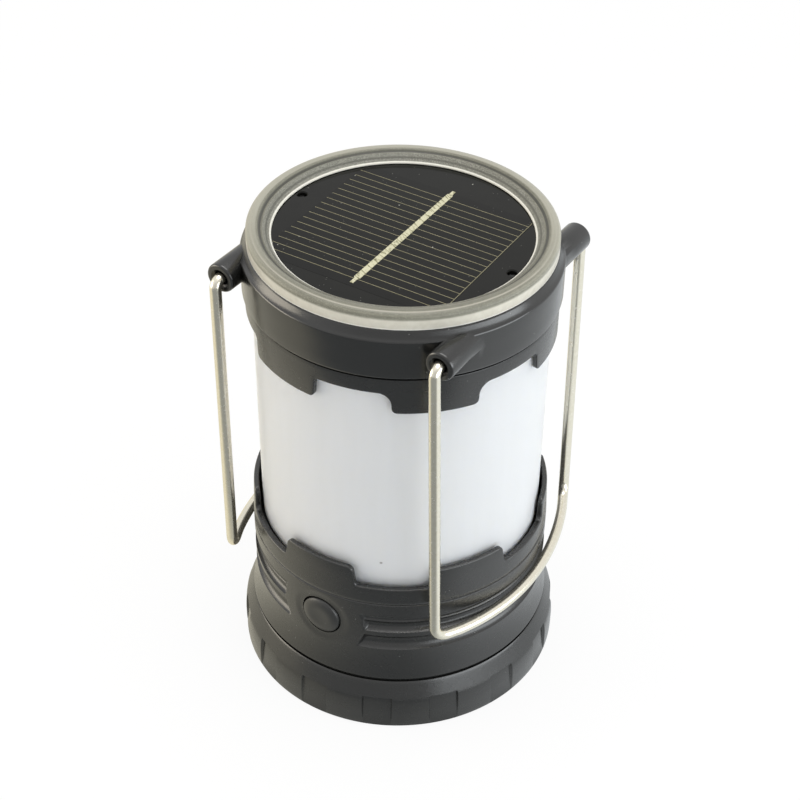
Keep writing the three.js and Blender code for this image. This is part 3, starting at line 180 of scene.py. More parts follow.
# %% Surface helper
class Surface(Tree):
    """A material under construction: `self.x, self.y, self.z` are millimetres in the lantern's frame."""

    def __init__(self, name, **constants):
        self.material = bpy.data.materials.new(name)
        self.material.use_nodes = True
        super().__init__(self.material.node_tree)
        self.tree.nodes.clear()
        place = self.node("ShaderNodeTexCoord", out="Object")
        self.mm = self.node("ShaderNodeVectorMath", {"operation": "SCALE"}, {0: place, "Scale": 1000.0})
        self.x, self.y, self.z = self.split(self.mm)
        self.radius = (self.x * self.x + self.y * self.y).sqrt()
        self.shader = self.tree.nodes.new("ShaderNodeBsdfPrincipled")
        for key, value in constants.items():
            self.shader.inputs[key.replace("_", " ")].default_value = value
        self.end("ShaderNodeOutputMaterial", self.shader.outputs[0])

    def feed(self, socket, value):
        self.tree.links.new(value.socket, self.shader.inputs[socket])

    def noise(self, grain, detail=2.0, at=None):
        """Soft noise between 0 and 1 whose lumps are about `grain` millimetres."""
        sizes = {"Vector": at or self.mm, "Scale": 1 / grain, "Detail": detail}
        return self.node("ShaderNodeTexNoise", None, sizes)

    def specks(self, spacing, size):
        """Small round specks, one in each cell of `spacing`, and only in the sparser part of a slow noise."""
        cells = self.node("ShaderNodeTexVoronoi", None, {"Vector": self.mm, "Scale": 1 / spacing})
        dots = 1 - cells.rise(size * 0.5 / spacing, size / spacing)
        return dots * self.noise(spacing * 2.7, 1.0).rise(0.5, 0.58)

    def bump(self, height, distance):
        """Feeds the normal from a height field; distance is the millimetres that 1 stands for."""
        sizes = {"Height": height, "Distance": distance / 1000, "Strength": 1.0}
        self.feed("Normal", self.node("ShaderNodeBump", None, sizes))


def rgb(r, g, b):
    """A colour for a socket, from linear red, green and blue."""
    return (r, g, b, 1.0)


print("surface textures: noise, specks, bump")

# %% [markdown]
# ### Satin black plastic
# The skirt, housing and base ring come from spark-eroded moulds, which leave a fine grain that breaks up the
# light. The tone drifts a little over the surface, and a few grains of dust sit on it. The cap's mould was
# polished further, so its finish is glossier, and the button is a softer, duller plastic.

# %% Satin black
def satin_black(name, tone=0.008, roughness=0.27):
    skin = Surface(name, IOR=1.68)
    drift = skin.noise(17.0, 3.0)
    cloud = skin.noise(5.0, 2.0)
    dust = skin.specks(2.6, 0.16) * 0.6 + skin.specks(1.1, 0.05) * 0.35
    base = skin.mix(drift, rgb(tone, tone * 1.03, tone), rgb(tone * 1.5, tone * 1.5, tone * 1.42))
    skin.feed("Base Color", skin.mix(dust, base, rgb(0.30, 0.30, 0.28)))
    skin.feed("Roughness", roughness + (cloud - 0.5) * 0.10 + dust * 0.2)
    grain = skin.noise(0.16, 2.0) + skin.noise(0.45, 1.0) * 0.6
    skin.bump(grain, 0.012)
    return skin.material


black_plastic = satin_black("satin_black_plastic")
cap_plastic = satin_black("cap_black_plastic", 0.007, 0.20)
button_plastic = satin_black("button_black_plastic", 0.011, 0.40)
print("satin black nodes:", len(black_plastic.node_tree.nodes))

# %% [markdown]
# ### Opal diffuser
# The tube is milky polycarbonate: bright, softly shaded and a little glossy. Light enters it and spreads, so
# a large subsurface share keeps its shadows pale. Faint vertical flow streaks and one dark inclusion break
# up the white.

# %% Opal
def opal_plastic():
    skin = Surface("opal_plastic", IOR=1.45, Subsurface_Weight=0.9, Subsurface_Scale=0.010)
    skin.shader.inputs["Subsurface Radius"].default_value = (1.0, 0.95, 0.85)
    stretched = skin.join(skin.x * 0.35, skin.y * 0.35, skin.z * 0.03)
    flow = skin.noise(1.0, 2.0, at=stretched)
    spot_x, spot_z = 17.65, 61.4
    aside, over = skin.x - spot_x, skin.z - spot_z
    spot = (1 - (aside * aside + over * over).sqrt().rise(0.25, 0.5)) * skin.y.below(0.0)
    pale = skin.mix(flow, rgb(0.82, 0.82, 0.785), rgb(0.85, 0.85, 0.825))
    skin.feed("Base Color", skin.mix(spot * 0.7, pale, rgb(0.20, 0.18, 0.15)))
    skin.feed("Roughness", 0.34 + skin.noise(9.0) * 0.08)
    skin.bump(skin.noise(2.5, 1.0), 0.01)
    return skin.material


opal = opal_plastic()
print("opal nodes:", len(opal.node_tree.nodes))

# %% [markdown]
# ### Clear rim
# The ring round the panel is moulded in clear plastic over a silvery bed. Its outer wall is bright, and its
# lip carries a painted highlight. Its crest is granular, with painted light that makes it paler on the side
# away from the lens and a painted highlight along its front edge. The groove inside it has painted shade, and
# the inner slope is coarse where glue has set behind it. Masks of radius, height and side lay these bands on.

# %% Rim finish
def rim_plastic():
    skin = Surface("silvered_clear_rim", IOR=1.38)
    r, z = skin.radius, skin.z
    grit = skin.noise(0.22, 2.0)
    blotch = skin.noise(1.6, 3.0)
    streak = skin.noise(1.0, 2.0, at=skin.join(r * 3.0, z * 3.0, skin.y.math("ARCTAN2", skin.x) * 1.5))
    # Painted light: a mask of the side towards the lens, which makes the crest paler on the far side and puts
    # a painted highlight along its front edge.
    lens_side_painted_light = (towards_lens(skin.x, skin.y) / r).rise(-0.2, 0.9)
    slope = 1 - r.rise(37.5, 38.0)
    lip = 1 - r.rise(35.8, 36.1)
    wall = (1 - z.rise(146.0, 146.8)) * r.rise(41.0, 41.5)
    glue = skin.mix(grit.rise(0.4, 0.62), rgb(0.12, 0.12, 0.10), rgb(0.34, 0.335, 0.30))
    base = skin.mix(blotch, rgb(0.13, 0.128, 0.10), rgb(0.20, 0.195, 0.155))
    base = skin.mix(streak.rise(0.4, 0.65) * 0.4, base, rgb(0.28, 0.27, 0.215))
    base = skin.mix(grit.rise(0.5, 0.66) * 0.5, base, rgb(0.36, 0.355, 0.29))
    base = skin.mix(slope * 0.6, base, glue)
    # Painted shade in the groove, then a dark line across the inner slope.
    base = skin.mix(r.band(38.2, 38.9, 0.3) * 0.8, base, rgb(0.045, 0.045, 0.04))
    base = skin.mix(r.band(36.6, 37.0, 0.3) * 0.6, base, rgb(0.06, 0.06, 0.05))
    base = skin.mix(r.rise(39.2, 39.8) * (1 - lens_side_painted_light) * 0.6, base, rgb(0.47, 0.455, 0.38))
    base = skin.mix(r.band(40.7, 41.1, 0.25) * lens_side_painted_light * 0.6, base, rgb(0.50, 0.47, 0.40))
    base = skin.mix(wall * 0.9, base, skin.mix(blotch, rgb(0.54, 0.51, 0.43), rgb(0.68, 0.66, 0.58)))
    base = skin.mix(wall * (1 - z.rise(143.5, 144.0)) * 0.8, base, rgb(0.80, 0.79, 0.74))
    # Painted highlight along the inner lip.
    base = skin.mix(lip * 0.9, base, rgb(0.80, 0.78, 0.70))
    skin.feed("Base Color", base)
    skin.feed("Roughness", 0.26 + grit * 0.18 + slope * 0.12)
    skin.bump(grit * (0.35 + slope) + streak * 0.5, 0.03)
    return skin.material


rim_clear = rim_plastic()
print("rim nodes:", len(rim_clear.node_tree.nodes))

# %% [markdown]
# ### Panel, wafer and its metal
# A glossy black laminate carries the silicon wafer. Dust shows on it as tiny pale specks. The fingers are
# printed silver paste, tarnished to a dull gold. The busbar is a tinned ribbon, soldered down in dabs: pale
# patches with a dark line across the ribbon every 2.9 mm.

# %% Panel finishes
DAB_LENGTH = 2.9


def laminate(name, tone):
    skin = Surface(name, IOR=1.28)
    dust = skin.specks(3.1, 0.24) + skin.specks(1.3, 0.10) * 0.6
    haze = skin.noise(8.0, 3.0)
    base = skin.mix(haze, rgb(tone, tone, tone * 0.85), rgb(tone * 1.8, tone * 1.8, tone * 1.5))
    skin.feed("Base Color", skin.mix(dust.least(1.0), base, rgb(0.45, 0.45, 0.40)))
    skin.feed("Roughness", 0.10 + haze * 0.06 + dust * 0.2)
    skin.bump(skin.noise(6.0, 1.0) + dust * 0.2, 0.02)
    return skin.material


def paste_metal():
    skin = Surface("printed_silver_paste", Metallic=0.6)
    worn = skin.noise(0.9, 3.0)
    skin.feed("Base Color", skin.mix(worn, rgb(0.17, 0.155, 0.09), rgb(0.36, 0.33, 0.21)))
    skin.feed("Roughness", 0.38 + worn * 0.2)
    return skin.material


def tinned_ribbon():
    skin = Surface("tinned_ribbon", Metallic=0.75)
    slanted = skin.join(skin.x * 0.5, skin.y * 1.1 + skin.x * 0.5, 0.0)
    patch = skin.noise(1.0, 3.0, at=slanted)
    fine = skin.noise(0.25, 2.0)
    bright = (patch * 0.8 + fine * 0.3).rise(0.38, 0.56)
    along = skin.y + skin.x * 0.4 + patch * 1.6
    gap = (along * (2 * math.pi / DAB_LENGTH)).math("COSINE").rise(0.90, 0.99)
    bright = bright * (1 - gap * 0.85)
    skin.feed("Base Color", skin.mix(bright, rgb(0.20, 0.19, 0.10), rgb(0.74, 0.71, 0.50)))
    skin.feed("Roughness", 0.55 - bright * 0.25)
    skin.bump(patch + fine * 0.4, 0.08)
    return skin.material


panel_black = laminate("panel_laminate", 0.006)
silicon = laminate("silicon_wafer", 0.004)
paste, ribbon = paste_metal(), tinned_ribbon()
print("panel finishes:", [m.name for m in (panel_black, silicon, paste, ribbon)])

# %% [markdown]
# ### Nickel wire
# The bails are bent from drawn wire and plated. The plating is bright, faintly warm, and it keeps the draw
# lines, which run along the wire: the sweep below stores how far along and how far round each point is, and
# the finish reads those two attributes in place of the position.

# %% Nickel
def nickel_plate():
    skin = Surface("nickel_plated_wire", Metallic=1.0)
    along = skin.node("ShaderNodeAttribute", {"attribute_name": "along"}, out="Fac")
    around = skin.node("ShaderNodeAttribute", {"attribute_name": "around"}, out="Fac")
    turn = around * 2 * math.pi
    drawn = skin.join(turn.math("COSINE") * 5, turn.math("SINE") * 5, along * 0.03)
    lines = skin.noise(1.0, 3.0, at=drawn)
    spots = skin.noise(1.2, 3.0)
    skin.feed("Base Color", skin.mix(spots, rgb(0.76, 0.71, 0.57), rgb(0.86, 0.825, 0.725)))
    skin.feed("Roughness", 0.17 + lines * 0.14 + spots.rise(0.6, 0.75) * 0.1)
    skin.bump(lines, 0.006)
    return skin.material


nickel = nickel_plate()
print("nickel nodes:", len(nickel.node_tree.nodes))

# %% [markdown]
# ### Finishes inside the lantern
# The hidden pieces keep their packed shapes and get plain workshop finishes: zinc-plated steel, white and
# black moulded parts, solder mask, shrink sleeve, foam and rubber. One function varies tone, shine and grain.

# %% Inner finishes
def workshop(name, dark, light, roughness, metallic=0.0, grain=0.8, height=0.01, **constants):
    skin = Surface(name, Metallic=metallic, **constants)
    slow, fine = skin.noise(grain * 8, 3.0), skin.noise(grain * 0.4, 2.0)
    skin.feed("Base Color", skin.mix(slow * 0.7 + fine * 0.3, rgb(*dark), rgb(*light)))
    skin.feed("Roughness", roughness + (fine - 0.5) * 0.15)
    skin.bump(fine, height)
    return skin.material


finish_of_slot = {
    "black_plastic": black_plastic, "rim": rim_clear, "panel": panel_black, "silicon": silicon,
    "opal": opal, "bail_wire": nickel,
    "steel": workshop("zinc_plated_steel", (0.42, 0.43, 0.44), (0.60, 0.60, 0.58), 0.34, 1.0, 0.5),
    "white_plastic": workshop("white_moulding", (0.74, 0.74, 0.71), (0.80, 0.80, 0.78), 0.45),
    "rubber": workshop("matt_rubber", (0.013, 0.013, 0.013), (0.028, 0.027, 0.026), 0.82, 0.0, 0.6, 0.02),
    "foam": workshop("closed_cell_foam", (0.03, 0.03, 0.032), (0.07, 0.07, 0.072), 0.95, 0.0, 0.9, 0.15),
    "circuit_board": workshop("solder_mask", (0.012, 0.09, 0.04), (0.03, 0.16, 0.07), 0.35, 0.0, 1.5),
    "led": workshop("led_resin", (0.80, 0.62, 0.18), (0.88, 0.78, 0.40), 0.2, 0.0, 0.5, 0.0),
    "cell_sleeve": workshop("shrink_sleeve", (0.02, 0.12, 0.06), (0.04, 0.20, 0.10), 0.3, 0.0, 2.0),
    "dark_part": workshop("matt_black_part", (0.012, 0.012, 0.014), (0.03, 0.03, 0.033), 0.55),
    "clear_tube": workshop("clear_tube", (0.70, 0.74, 0.76), (0.80, 0.83, 0.84), 0.15, 0.0, 2.0, 0.0),
}
slot_of_node = {part["node"]: part["material_slot"] for part in frame["record"]["subparts"]}
for name, node in nodes.items():
    node.data.materials.clear()
    node.data.materials.append(finish_of_slot[slot_of_node[name]])
print("finishes:", len(finish_of_slot), "for", len(slot_of_node), "nodes")

# %% [markdown]
# ## Meshes from drawings
# A turned piece is a closed outline of (radius, height) points carried round Z. `ring_mesh` takes the more
# general case, a grid of points whose columns go round and whose rows follow the outline, so the same code
# also makes walls whose edge rises and falls. Points on the axis are merged, which closes the poles.

# %% Mesh helpers
def finish_mesh(name, vertices, faces, sharp=35):
    mesh = bpy.data.meshes.new(name)
    mesh.from_pydata([tuple(v) for v in vertices], [], [tuple(int(i) for i in f) for f in faces])
    tidy = bmesh.new()
    tidy.from_mesh(mesh)
    bmesh.ops.remove_doubles(tidy, verts=tidy.verts, dist=2e-7)
    bmesh.ops.dissolve_degenerate(tidy, edges=tidy.edges, dist=1e-8)
    bmesh.ops.recalc_face_normals(tidy, faces=tidy.faces)
    tidy.to_mesh(mesh)
    tidy.free()
    shade(mesh, sharp)
    return mesh


def shade(mesh, sharp):
    """Smooth shading that stays crisp where faces meet at more than `sharp` degrees."""
    mesh.polygons.foreach_set("use_smooth", [True] * len(mesh.polygons))
    mesh.set_sharp_from_angle(angle=math.radians(sharp))
    mesh.update()


def ring_mesh(name, radius, angle, height, sharp=35):
    """Arrays of (rows, columns): radius and height in millimetres, angle in radians. Both ways close up."""
    points = np.stack([radius * np.cos(angle), radius * np.sin(angle), height], -1) / 1000
    rows, columns = radius.shape
    index = np.arange(rows * columns).reshape(rows, columns)
    above, beside = np.roll(index, -1, 0), np.roll(index, -1, 1)
    faces = np.stack([index, beside, np.roll(above, -1, 1), above], -1).reshape(-1, 4)
    return finish_mesh(name, points.reshape(-1, 3), faces, sharp)


def turned(name, outline, columns=192, angles=None, sharp=35):
    """A closed outline of (radius, height) points turned about Z."""
    outline = np.array(outline, float)
    angles = np.linspace(0, 2 * math.pi, columns, endpoint=False) if angles is None else np.array(angles)
    shape = (len(outline), len(angles))
    radius = np.broadcast_to(outline[:, :1], shape)
    height = np.broadcast_to(outline[:, 1:], shape)
    return ring_mesh(name, radius, np.broadcast_to(angles, shape), height, sharp)


def arc(cx, cy, radius, start, end, steps):
    """Points of an arc, angles in degrees."""
    turn = np.radians(np.linspace(start, end, steps + 1))
    return [(cx + radius * math.cos(a), cy + radius * math.sin(a)) for a in turn]


def rounded(outline, radii, steps=3):
    """A closed outline with the corner at each index in `radii` rounded."""
    result = []
    for i, corner in enumerate(outline):
        if i not in radii:
            result.append(corner)
            continue
        at = Vector(corner)
        before = Vector(outline[i - 1]) - at
        after = Vector(outline[(i + 1) % len(outline)]) - at
        half = before.angle(after) / 2
        reach = min(radii[i] / math.tan(half), before.length * 0.49, after.length * 0.49)
        size = reach * math.tan(half)
        middle = at + (before.normalized() + after.normalized()).normalized() * (size / math.sin(half))
        first, last = at + before.normalized() * reach - middle, at + after.normalized() * reach - middle
        for k in range(steps + 1):
            spoke = first.lerp(last, k / steps).normalized() * size
            result.append(tuple(middle + spoke))
    return result


def piece(name, mesh, finish, body, stands_for):
    """Puts a finished mesh in the scene, riding on a body in place of packed nodes."""
    thing = bpy.data.objects.new(name, mesh)
    scene.collection.objects.link(thing)
    if finish is not None:
        mesh.materials.clear()
        mesh.materials.append(finish)
    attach(thing, body)
    if stands_for:
        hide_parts(*stands_for)
    print(name, "faces", len(mesh.polygons))
    return thing


print("mesh helpers ready")

# %% [markdown]
# ## Geometry Nodes helper
# A modifier's group is built in the script, with named inputs for its sizes. Its inputs are set through their
# identifiers, and the evaluated result is copied out as a plain mesh, so no modifier is left on the piece.
# Booleans are handled the same way: what is cut, added or clipped ends in a plain mesh.

# %% Geometry Nodes helpers
def node_group(name, sizes):
    """An empty Geometry Nodes group with float inputs, and a dictionary of fields for them."""
    group = bpy.data.node_groups.new(name, "GeometryNodeTree")
    group.interface.new_socket("Geometry", in_out="INPUT", socket_type="NodeSocketGeometry")
    group.interface.new_socket("Geometry", in_out="OUTPUT", socket_type="NodeSocketGeometry")
    for key, value in sizes.items():
        group.interface.new_socket(key, in_out="INPUT", socket_type="NodeSocketFloat").default_value = value
    tree = Tree(group)
    start = tree.node("NodeGroupInput").socket.node
    fields = {s.name: Field(tree, s) for s in start.outputs if s.name}
    return tree, fields


def close_group(tree, geometry, finish):
    """Ends a group in Realize Instances and Set Material."""
    real = tree.node("GeometryNodeRealizeInstances", None, {0: geometry})
    dressed = tree.node("GeometryNodeSetMaterial", None, {"Geometry": real, "Material": finish})
    return tree.end("NodeGroupOutput", dressed.socket)


def pressed(tree, geometry, x, y, z):
    """Moves every point of a geometry to x, y and z in millimetres."""
    place = tree.join(x / 1000, y / 1000, z / 1000)
    return tree.node("GeometryNodeSetPosition", None, {"Geometry": geometry, "Position": place})


def grown(name, mesh, group, sizes=None, sharp=35):
    """The plain mesh that a group makes of a mesh, with some of its named inputs changed."""
    seed = bpy.data.objects.new(name + "_seed", mesh)
    scene.collection.objects.link(seed)
    modifier = seed.modifiers.new("grow", "NODES")
    modifier.node_group = group
    for item in group.interface.items_tree:
        if item.in_out == "INPUT" and item.name in (sizes or {}):
            modifier[item.identifier] = float(sizes[item.name])
    bpy.context.view_layer.update()
    ready = seed.evaluated_get(bpy.context.evaluated_depsgraph_get())
    result = bpy.data.meshes.new_from_object(ready)
    result.name = name
    bpy.data.objects.remove(seed)
    if sharp:
        shade(result, sharp)
    return result


def carved(mesh, *tools):
    """A mesh with others cut away; a tool given as ("add", mesh) joins it and ("clip", mesh) clips it."""
    body = bpy.data.objects.new("carve", mesh)
    scene.collection.objects.link(body)
    helpers = []
    for tool in tools:
        operation, shape = tool if isinstance(tool, tuple) else ("cut", tool)
        helper = bpy.data.objects.new("tool", shape)
        scene.collection.objects.link(helper)
        helpers.append(helper)
        modifier = body.modifiers.new("boolean", "BOOLEAN")
        modifier.operation = {"cut": "DIFFERENCE", "add": "UNION", "clip": "INTERSECT"}[operation]
        modifier.solver, modifier.object = "EXACT", helper
    bpy.context.view_layer.update()
    ready = body.evaluated_get(bpy.context.evaluated_depsgraph_get())
    result = bpy.data.meshes.new_from_object(ready)
    for thing in (body, *helpers):
        bpy.data.objects.remove(thing)
    return result


def placed(mesh, turn=(0, 0, 0), move=(0, 0, 0)):
    """A copy of a mesh turned by degrees about X, Y and Z and moved by millimetres."""
    copy = mesh.copy()
    about_x, about_y, about_z = (Matrix.Rotation(math.radians(a), 4, k) for a, k in zip(turn, "XYZ"))
    copy.transform(Matrix.Translation(Vector(move) / 1000) @ about_z @ about_y @ about_x)
    return copy


print("Geometry Nodes and Boolean helpers ready")

# %% [markdown]
# ## Base cover
# The bottom ring is gripped to twist it off, so fifteen shallow recesses are pressed into its side. The
# plain ring is turned first, with columns packed where the recess edges fall. A Geometry Nodes group then
# moves the surface inwards by one formula in angle and height, which keeps every recess identical. Each
# recess is deepest under its upper ledge and runs out towards the foot, so the bottom edge stays round.

# %% Base cover
COVER_RADIUS, COVER_INNER = 48.65, 45.3
GRIPS, GRIP_WIDTH, GRIP_DEPTH, GRIP_TOP, GRIP_TURN = 15, 8.7, 1.0, 11.45, -89.1
side_wall = [(0.7, COVER_RADIUS), (6.0, COVER_RADIUS), (8.0, 48.56), (9.4, 48.44), (10.4, 48.3)]
side_wall += [(11.0, 48.12), (11.6, 47.86), (12.6, 47.4), (13.9, 46.8), (15.2, 46.2), (15.8, 45.92)]
side_wall += [(16.2, 45.72), (16.5, 45.55)]
ledge_rows = [GRIP_TOP + d for d in (-0.95, -0.65, -0.4, -0.2, -0.1, 0, 0.1, 0.2, 0.35, 0.55, 0.85)]
side_heights = np.array([2, 3, 4, 5, 6, 7, 8, 8.8, 9.4, 9.8, 10.2, *ledge_rows, 12.6, 13, 13.9, 14.5,
                         15.2, 15.5, 15.8, 16, 16.2, 16.5])
side_radii = np.interp(side_heights, *np.transpose(side_wall))
cover_outline = [(0, 3.0), (0, 0.3), (20, 0.3), (40, 0.3), *arc(48.2, 0.7, 0.4, -90, 0, 5)]
cover_outline += [*zip(side_radii, side_heights), (45.42, 16.62), (COVER_INNER, 16.55), (COVER_INNER, 3.0)]

steps_out = [0.08, 0.17, 0.25, 0.4, 0.7, 1.2]
steps_in = [-step for step in reversed(steps_out)]
edge = [GRIP_WIDTH / 2 + step for step in (*steps_in, 0, *steps_out)]
across = np.array([0, 0.9, 1.8, 2.6, *edge, 6.3, 7.3, 8.4, 9.5]) / COVER_RADIUS
pitch = 2 * math.pi / GRIPS
one_grip = np.concatenate([-across[:0:-1], across])
cover_angles = np.concatenate([one_grip + pitch * i for i in range(GRIPS)]) + math.radians(GRIP_TURN)

grip_sizes = {"count": GRIPS, "width": GRIP_WIDTH, "depth": GRIP_DEPTH, "top": GRIP_TOP,
              "turn": math.radians(GRIP_TURN), "radius": COVER_RADIUS}
tree, size = node_group("press_grips", grip_sizes)
x, y, z = [part * 1000 for part in tree.split(tree.node("GeometryNodeInputPosition"))]
radius = (x * x + y * y).sqrt()
turns = (y.math("ARCTAN2", x) - size["turn"]) / (2 * math.pi) * size["count"]
off_centre = abs(turns - turns.math("ROUND")) / size["count"] * (2 * math.pi) * size["radius"]
inside = 1 - off_centre.rise(size["width"] / 2 - 0.2, size["width"] / 2 + 0.2)
inside = inside * (1 - z.rise(size["top"] - 0.12, size["top"] + 0.12))
depth = size["depth"] * ((z - 0.5) / size["top"]).most(0.0).sqrt() * radius.above(46.0)
scale = (radius - depth * inside) / radius.most(0.001)
press_grips = close_group(tree, pressed(tree, size["Geometry"], x * scale, y * scale, z), black_plastic)
cover_mesh = grown("base_ring", turned("cover_blank", cover_outline, angles=cover_angles), press_grips)
FOOT_AT = 27.15
foot_hollow = turned("foot_hollow", [(0, -1), (4.7, -1), (4.7, 1.6), (0, 1.6)], 32)
feet_at = [(FOOT_AT * sx, FOOT_AT * sy, 0) for sx in (1, -1) for sy in (1, -1)]
cover_mesh = carved(cover_mesh, *[placed(foot_hollow, move=at) for at in feet_at])
shade(cover_mesh, 35)
piece("base_ring", cover_mesh, black_plastic, "base_cover", ["base_cover"])

# %% [markdown]
# ## Feet
# Four rubber pads stand in pockets under the base. A Geometry Nodes group puts one turned pad on each point
# of a four-sided circle, and the circle's radius and turn stay inputs.

# %% Feet
foot = turned("foot_pad", rounded([(0, 0), (4.5, 0), (4.5, 1.5), (0, 1.5)], {1: 0.5, 2: 0.15}, 4), 40)
tree, size = node_group("stand_on_circle", {"circle": FOOT_AT * math.sqrt(2), "turn": math.radians(45)})
ring = tree.node("GeometryNodeMeshCircle", None, {"Vertices": 4, "Radius": size["circle"] / 1000})
ring = tree.node("GeometryNodeTransform", None, {0: ring, "Rotation": tree.join(0.0, 0.0, size["turn"])})
pads = tree.node("GeometryNodeInstanceOnPoints", None, {"Points": ring, "Instance": size["Geometry"]})
stand = close_group(tree, pads, finish_of_slot["rubber"])
feet_mesh = grown("rubber_feet", foot, stand)
piece("rubber_feet", feet_mesh, None, "base_cover", [f"foot_{i}" for i in (1, 2, 3, 4)])

# %% [markdown]
# ## Toothed walls
# The housing's collar and the skirt under the cap are castellated: six teeth with leaning flanks, rounded
# tips and filleted roots. The edge is drawn flat first, as distance along the wall against height. Each
# drawn point becomes one column of the wall, and the thickness is rounded over the edge by stepping back
# from the drawn line along its normal. `ToothedWall` collects the rows of such a wall, up the outside, over
# the edge and down the inside, and it serves both the standing collar and the hanging skirt.

# %% Tooth edge
def half_gap(tooth, wall_radius, fillet):
    """From the middle of a gap up one flank to the middle of the tooth beside it."""
    height, lean, corner = (tooth[k] for k in ("height", "lean", "corner"))
    half_pitch = math.pi * wall_radius / 6
    tilt = math.degrees(math.atan2(lean, height))

    def flank(h):
        return half_pitch - tooth["half_width"] - lean * (1 - h / height)

    root = arc(flank(fillet) - fillet, fillet, fillet, 270, 360 - tilt, 9)
    tip = arc(flank(height - corner) + corner, height - corner, corner, 180 - tilt, 90, 7)
    return [(0.0, 0.0), *root, *tip, (half_pitch, height)]


def tooth_edge(tooth, wall_radius, spacing):
    """Columns of a toothed wall: distance along, rise above the valley and the edge's normal (along, up)."""
    halves = [half_gap(tooth, wall_radius, fillet) for fillet in tooth["fillets"]]
    pitch = 2 * halves[0][-1][0]
    lines = []
    for half in halves:
        lines.append([(s - pitch / 2, h) for s, h in half] + [(pitch / 2 - s, h) for s, h in half[-2:0:-1]])
    points = np.array([(s + pitch * i, h) for i in range(6) for s, h in lines[i % 2]])
    closed = np.vstack([points, points[:1] + [6 * pitch, 0]])
    dense = []
    for a, b in zip(closed[:-1], closed[1:]):
        step = spacing((a[0] + b[0]) / 2 / wall_radius + math.radians(tooth["first"]))
        count = max(1, math.ceil(np.linalg.norm(b - a) / step))
        dense += [a + (b - a) * k / count for k in range(count)]
    dense = np.array(dense)
    span = np.array([6 * pitch, 0])
    after = np.vstack([dense[1:], dense[:1] + span])
    before = np.vstack([dense[-1:] - span, dense[:-1]])
    along = (after - before) / np.linalg.norm(after - before, axis=1)[:, None]
    return dense[:, 0], dense[:, 1], -along[:, 1], along[:, 0]


class ToothedWall:
    """The rows of a wall with a castellated edge; `up` is 1 where the teeth stand and -1 where they hang."""

    def __init__(self, tooth, radius, valley, up, spacing):
        self.radius, self.valley, self.up = radius, valley, up
        self.first = math.radians(tooth["first"])
        self.s, self.rise, self.along, self.upward = tooth_edge(tooth, radius, spacing)
        self.rows = []

    def edge_height(self, step_back):
        return self.valley + self.up * (self.rise - step_back * self.upward)

    def row(self, radius, z, step_back=0.0):
        """One row, where radius and z are each a number or one number for each column."""
        angle = (self.s - step_back * self.along) / self.radius + self.first
        self.rows.append([np.broadcast_to(value, self.s.shape) for value in (radius, angle, z)])

    def round_edge(self, size, face, steps):
        """Rounds the edge over from the outer face, or where size is negative back onto the inner one."""
        turns = np.radians(np.linspace(0, 90, steps))
        for turn in turns if size > 0 else turns[::-1]:
            step_back = abs(size) * (1 - math.sin(turn))
            z = self.edge_height(step_back)
            self.row((face(z) if callable(face) else face) - size * (1 - math.cos(turn)), z, step_back)

    def mesh(self, name):
        return ring_mesh(name, *(np.array(part) for part in zip(*self.rows)))


COLLAR_TOOTH = {"height": 6.55, "half_width": 11.2, "lean": 1.0, "corner": 2.0, "fillets": (1.4, 1.4),
                "first": -90}
SKIRT_TOOTH = {"height": 6.4, "half_width": 11.75, "lean": 0.5, "corner": 1.5, "fillets": (3.8, 1.2),
               "first": -45.3}
print("teeth:", COLLAR_TOOTH["height"], "mm on the collar,", SKIRT_TOOTH["height"], "mm on the skirt")

# %% [markdown]
# ## Housing
# One moulding runs from inside the base ring up to the toothed collar. Its outline goes up the outside,
# over the drawn tooth edge and down the inside. The waist grooves are then pressed in by a Geometry Nodes
# group: three hollows with an arc for a section, which a round pad about the push button interrupts.

# %% Housing
COLLAR_RADIUS, COLLAR_BORE, HOUSING_RADIUS, COLLAR_VALLEY = 43.9, 42.4, 44.4, 53.35
SEAM_Z, FLARE_FOOT, FLARE_TOP, FLARE, BUTTON_Z, BUTTON_ASIDE = 47.4, 18.2, 28.2, 1.25, 37.0, 1.15
GROOVES = [(29.2, 34.7, 1.6), (36.3, 40.5, 1.6), (40.2, 42.8, 0.8)]  # foot, top and depth of each
EDGE = 0.5


def near_button(angle):
    """Column spacing in millimetres: fine beside the button's pad, coarser elsewhere."""
    off = abs((angle + math.pi / 2 + math.pi) % (2 * math.pi) - math.pi) * HOUSING_RADIUS - BUTTON_ASIDE
    return 0.4 if off < 17.5 else 1.1


def collar_outside(z):
    """The collar leans in a little from the seam to the tips of its teeth."""
    tips = COLLAR_VALLEY + COLLAR_TOOTH["height"]
    return np.interp(z, [SEAM_Z + 0.35, tips], [HOUSING_RADIUS, COLLAR_RADIUS])


wall = ToothedWall(COLLAR_TOOTH, COLLAR_RADIUS, COLLAR_VALLEY, 1, near_button)
for r, z in [(42.9, 4.2), (44.9, 4.2), (44.9, 10), (44.9, 17.0), (44.9, 17.85), (45.4, 17.9), (45.6, 17.98),
             (45.66, 18.1)]:
    wall.row(r, z)
for t in np.linspace(0, 1, 16):
    wall.row(HOUSING_RADIUS + FLARE * (1 - t) ** 2, FLARE_FOOT + (FLARE_TOP - FLARE_FOOT) * t)
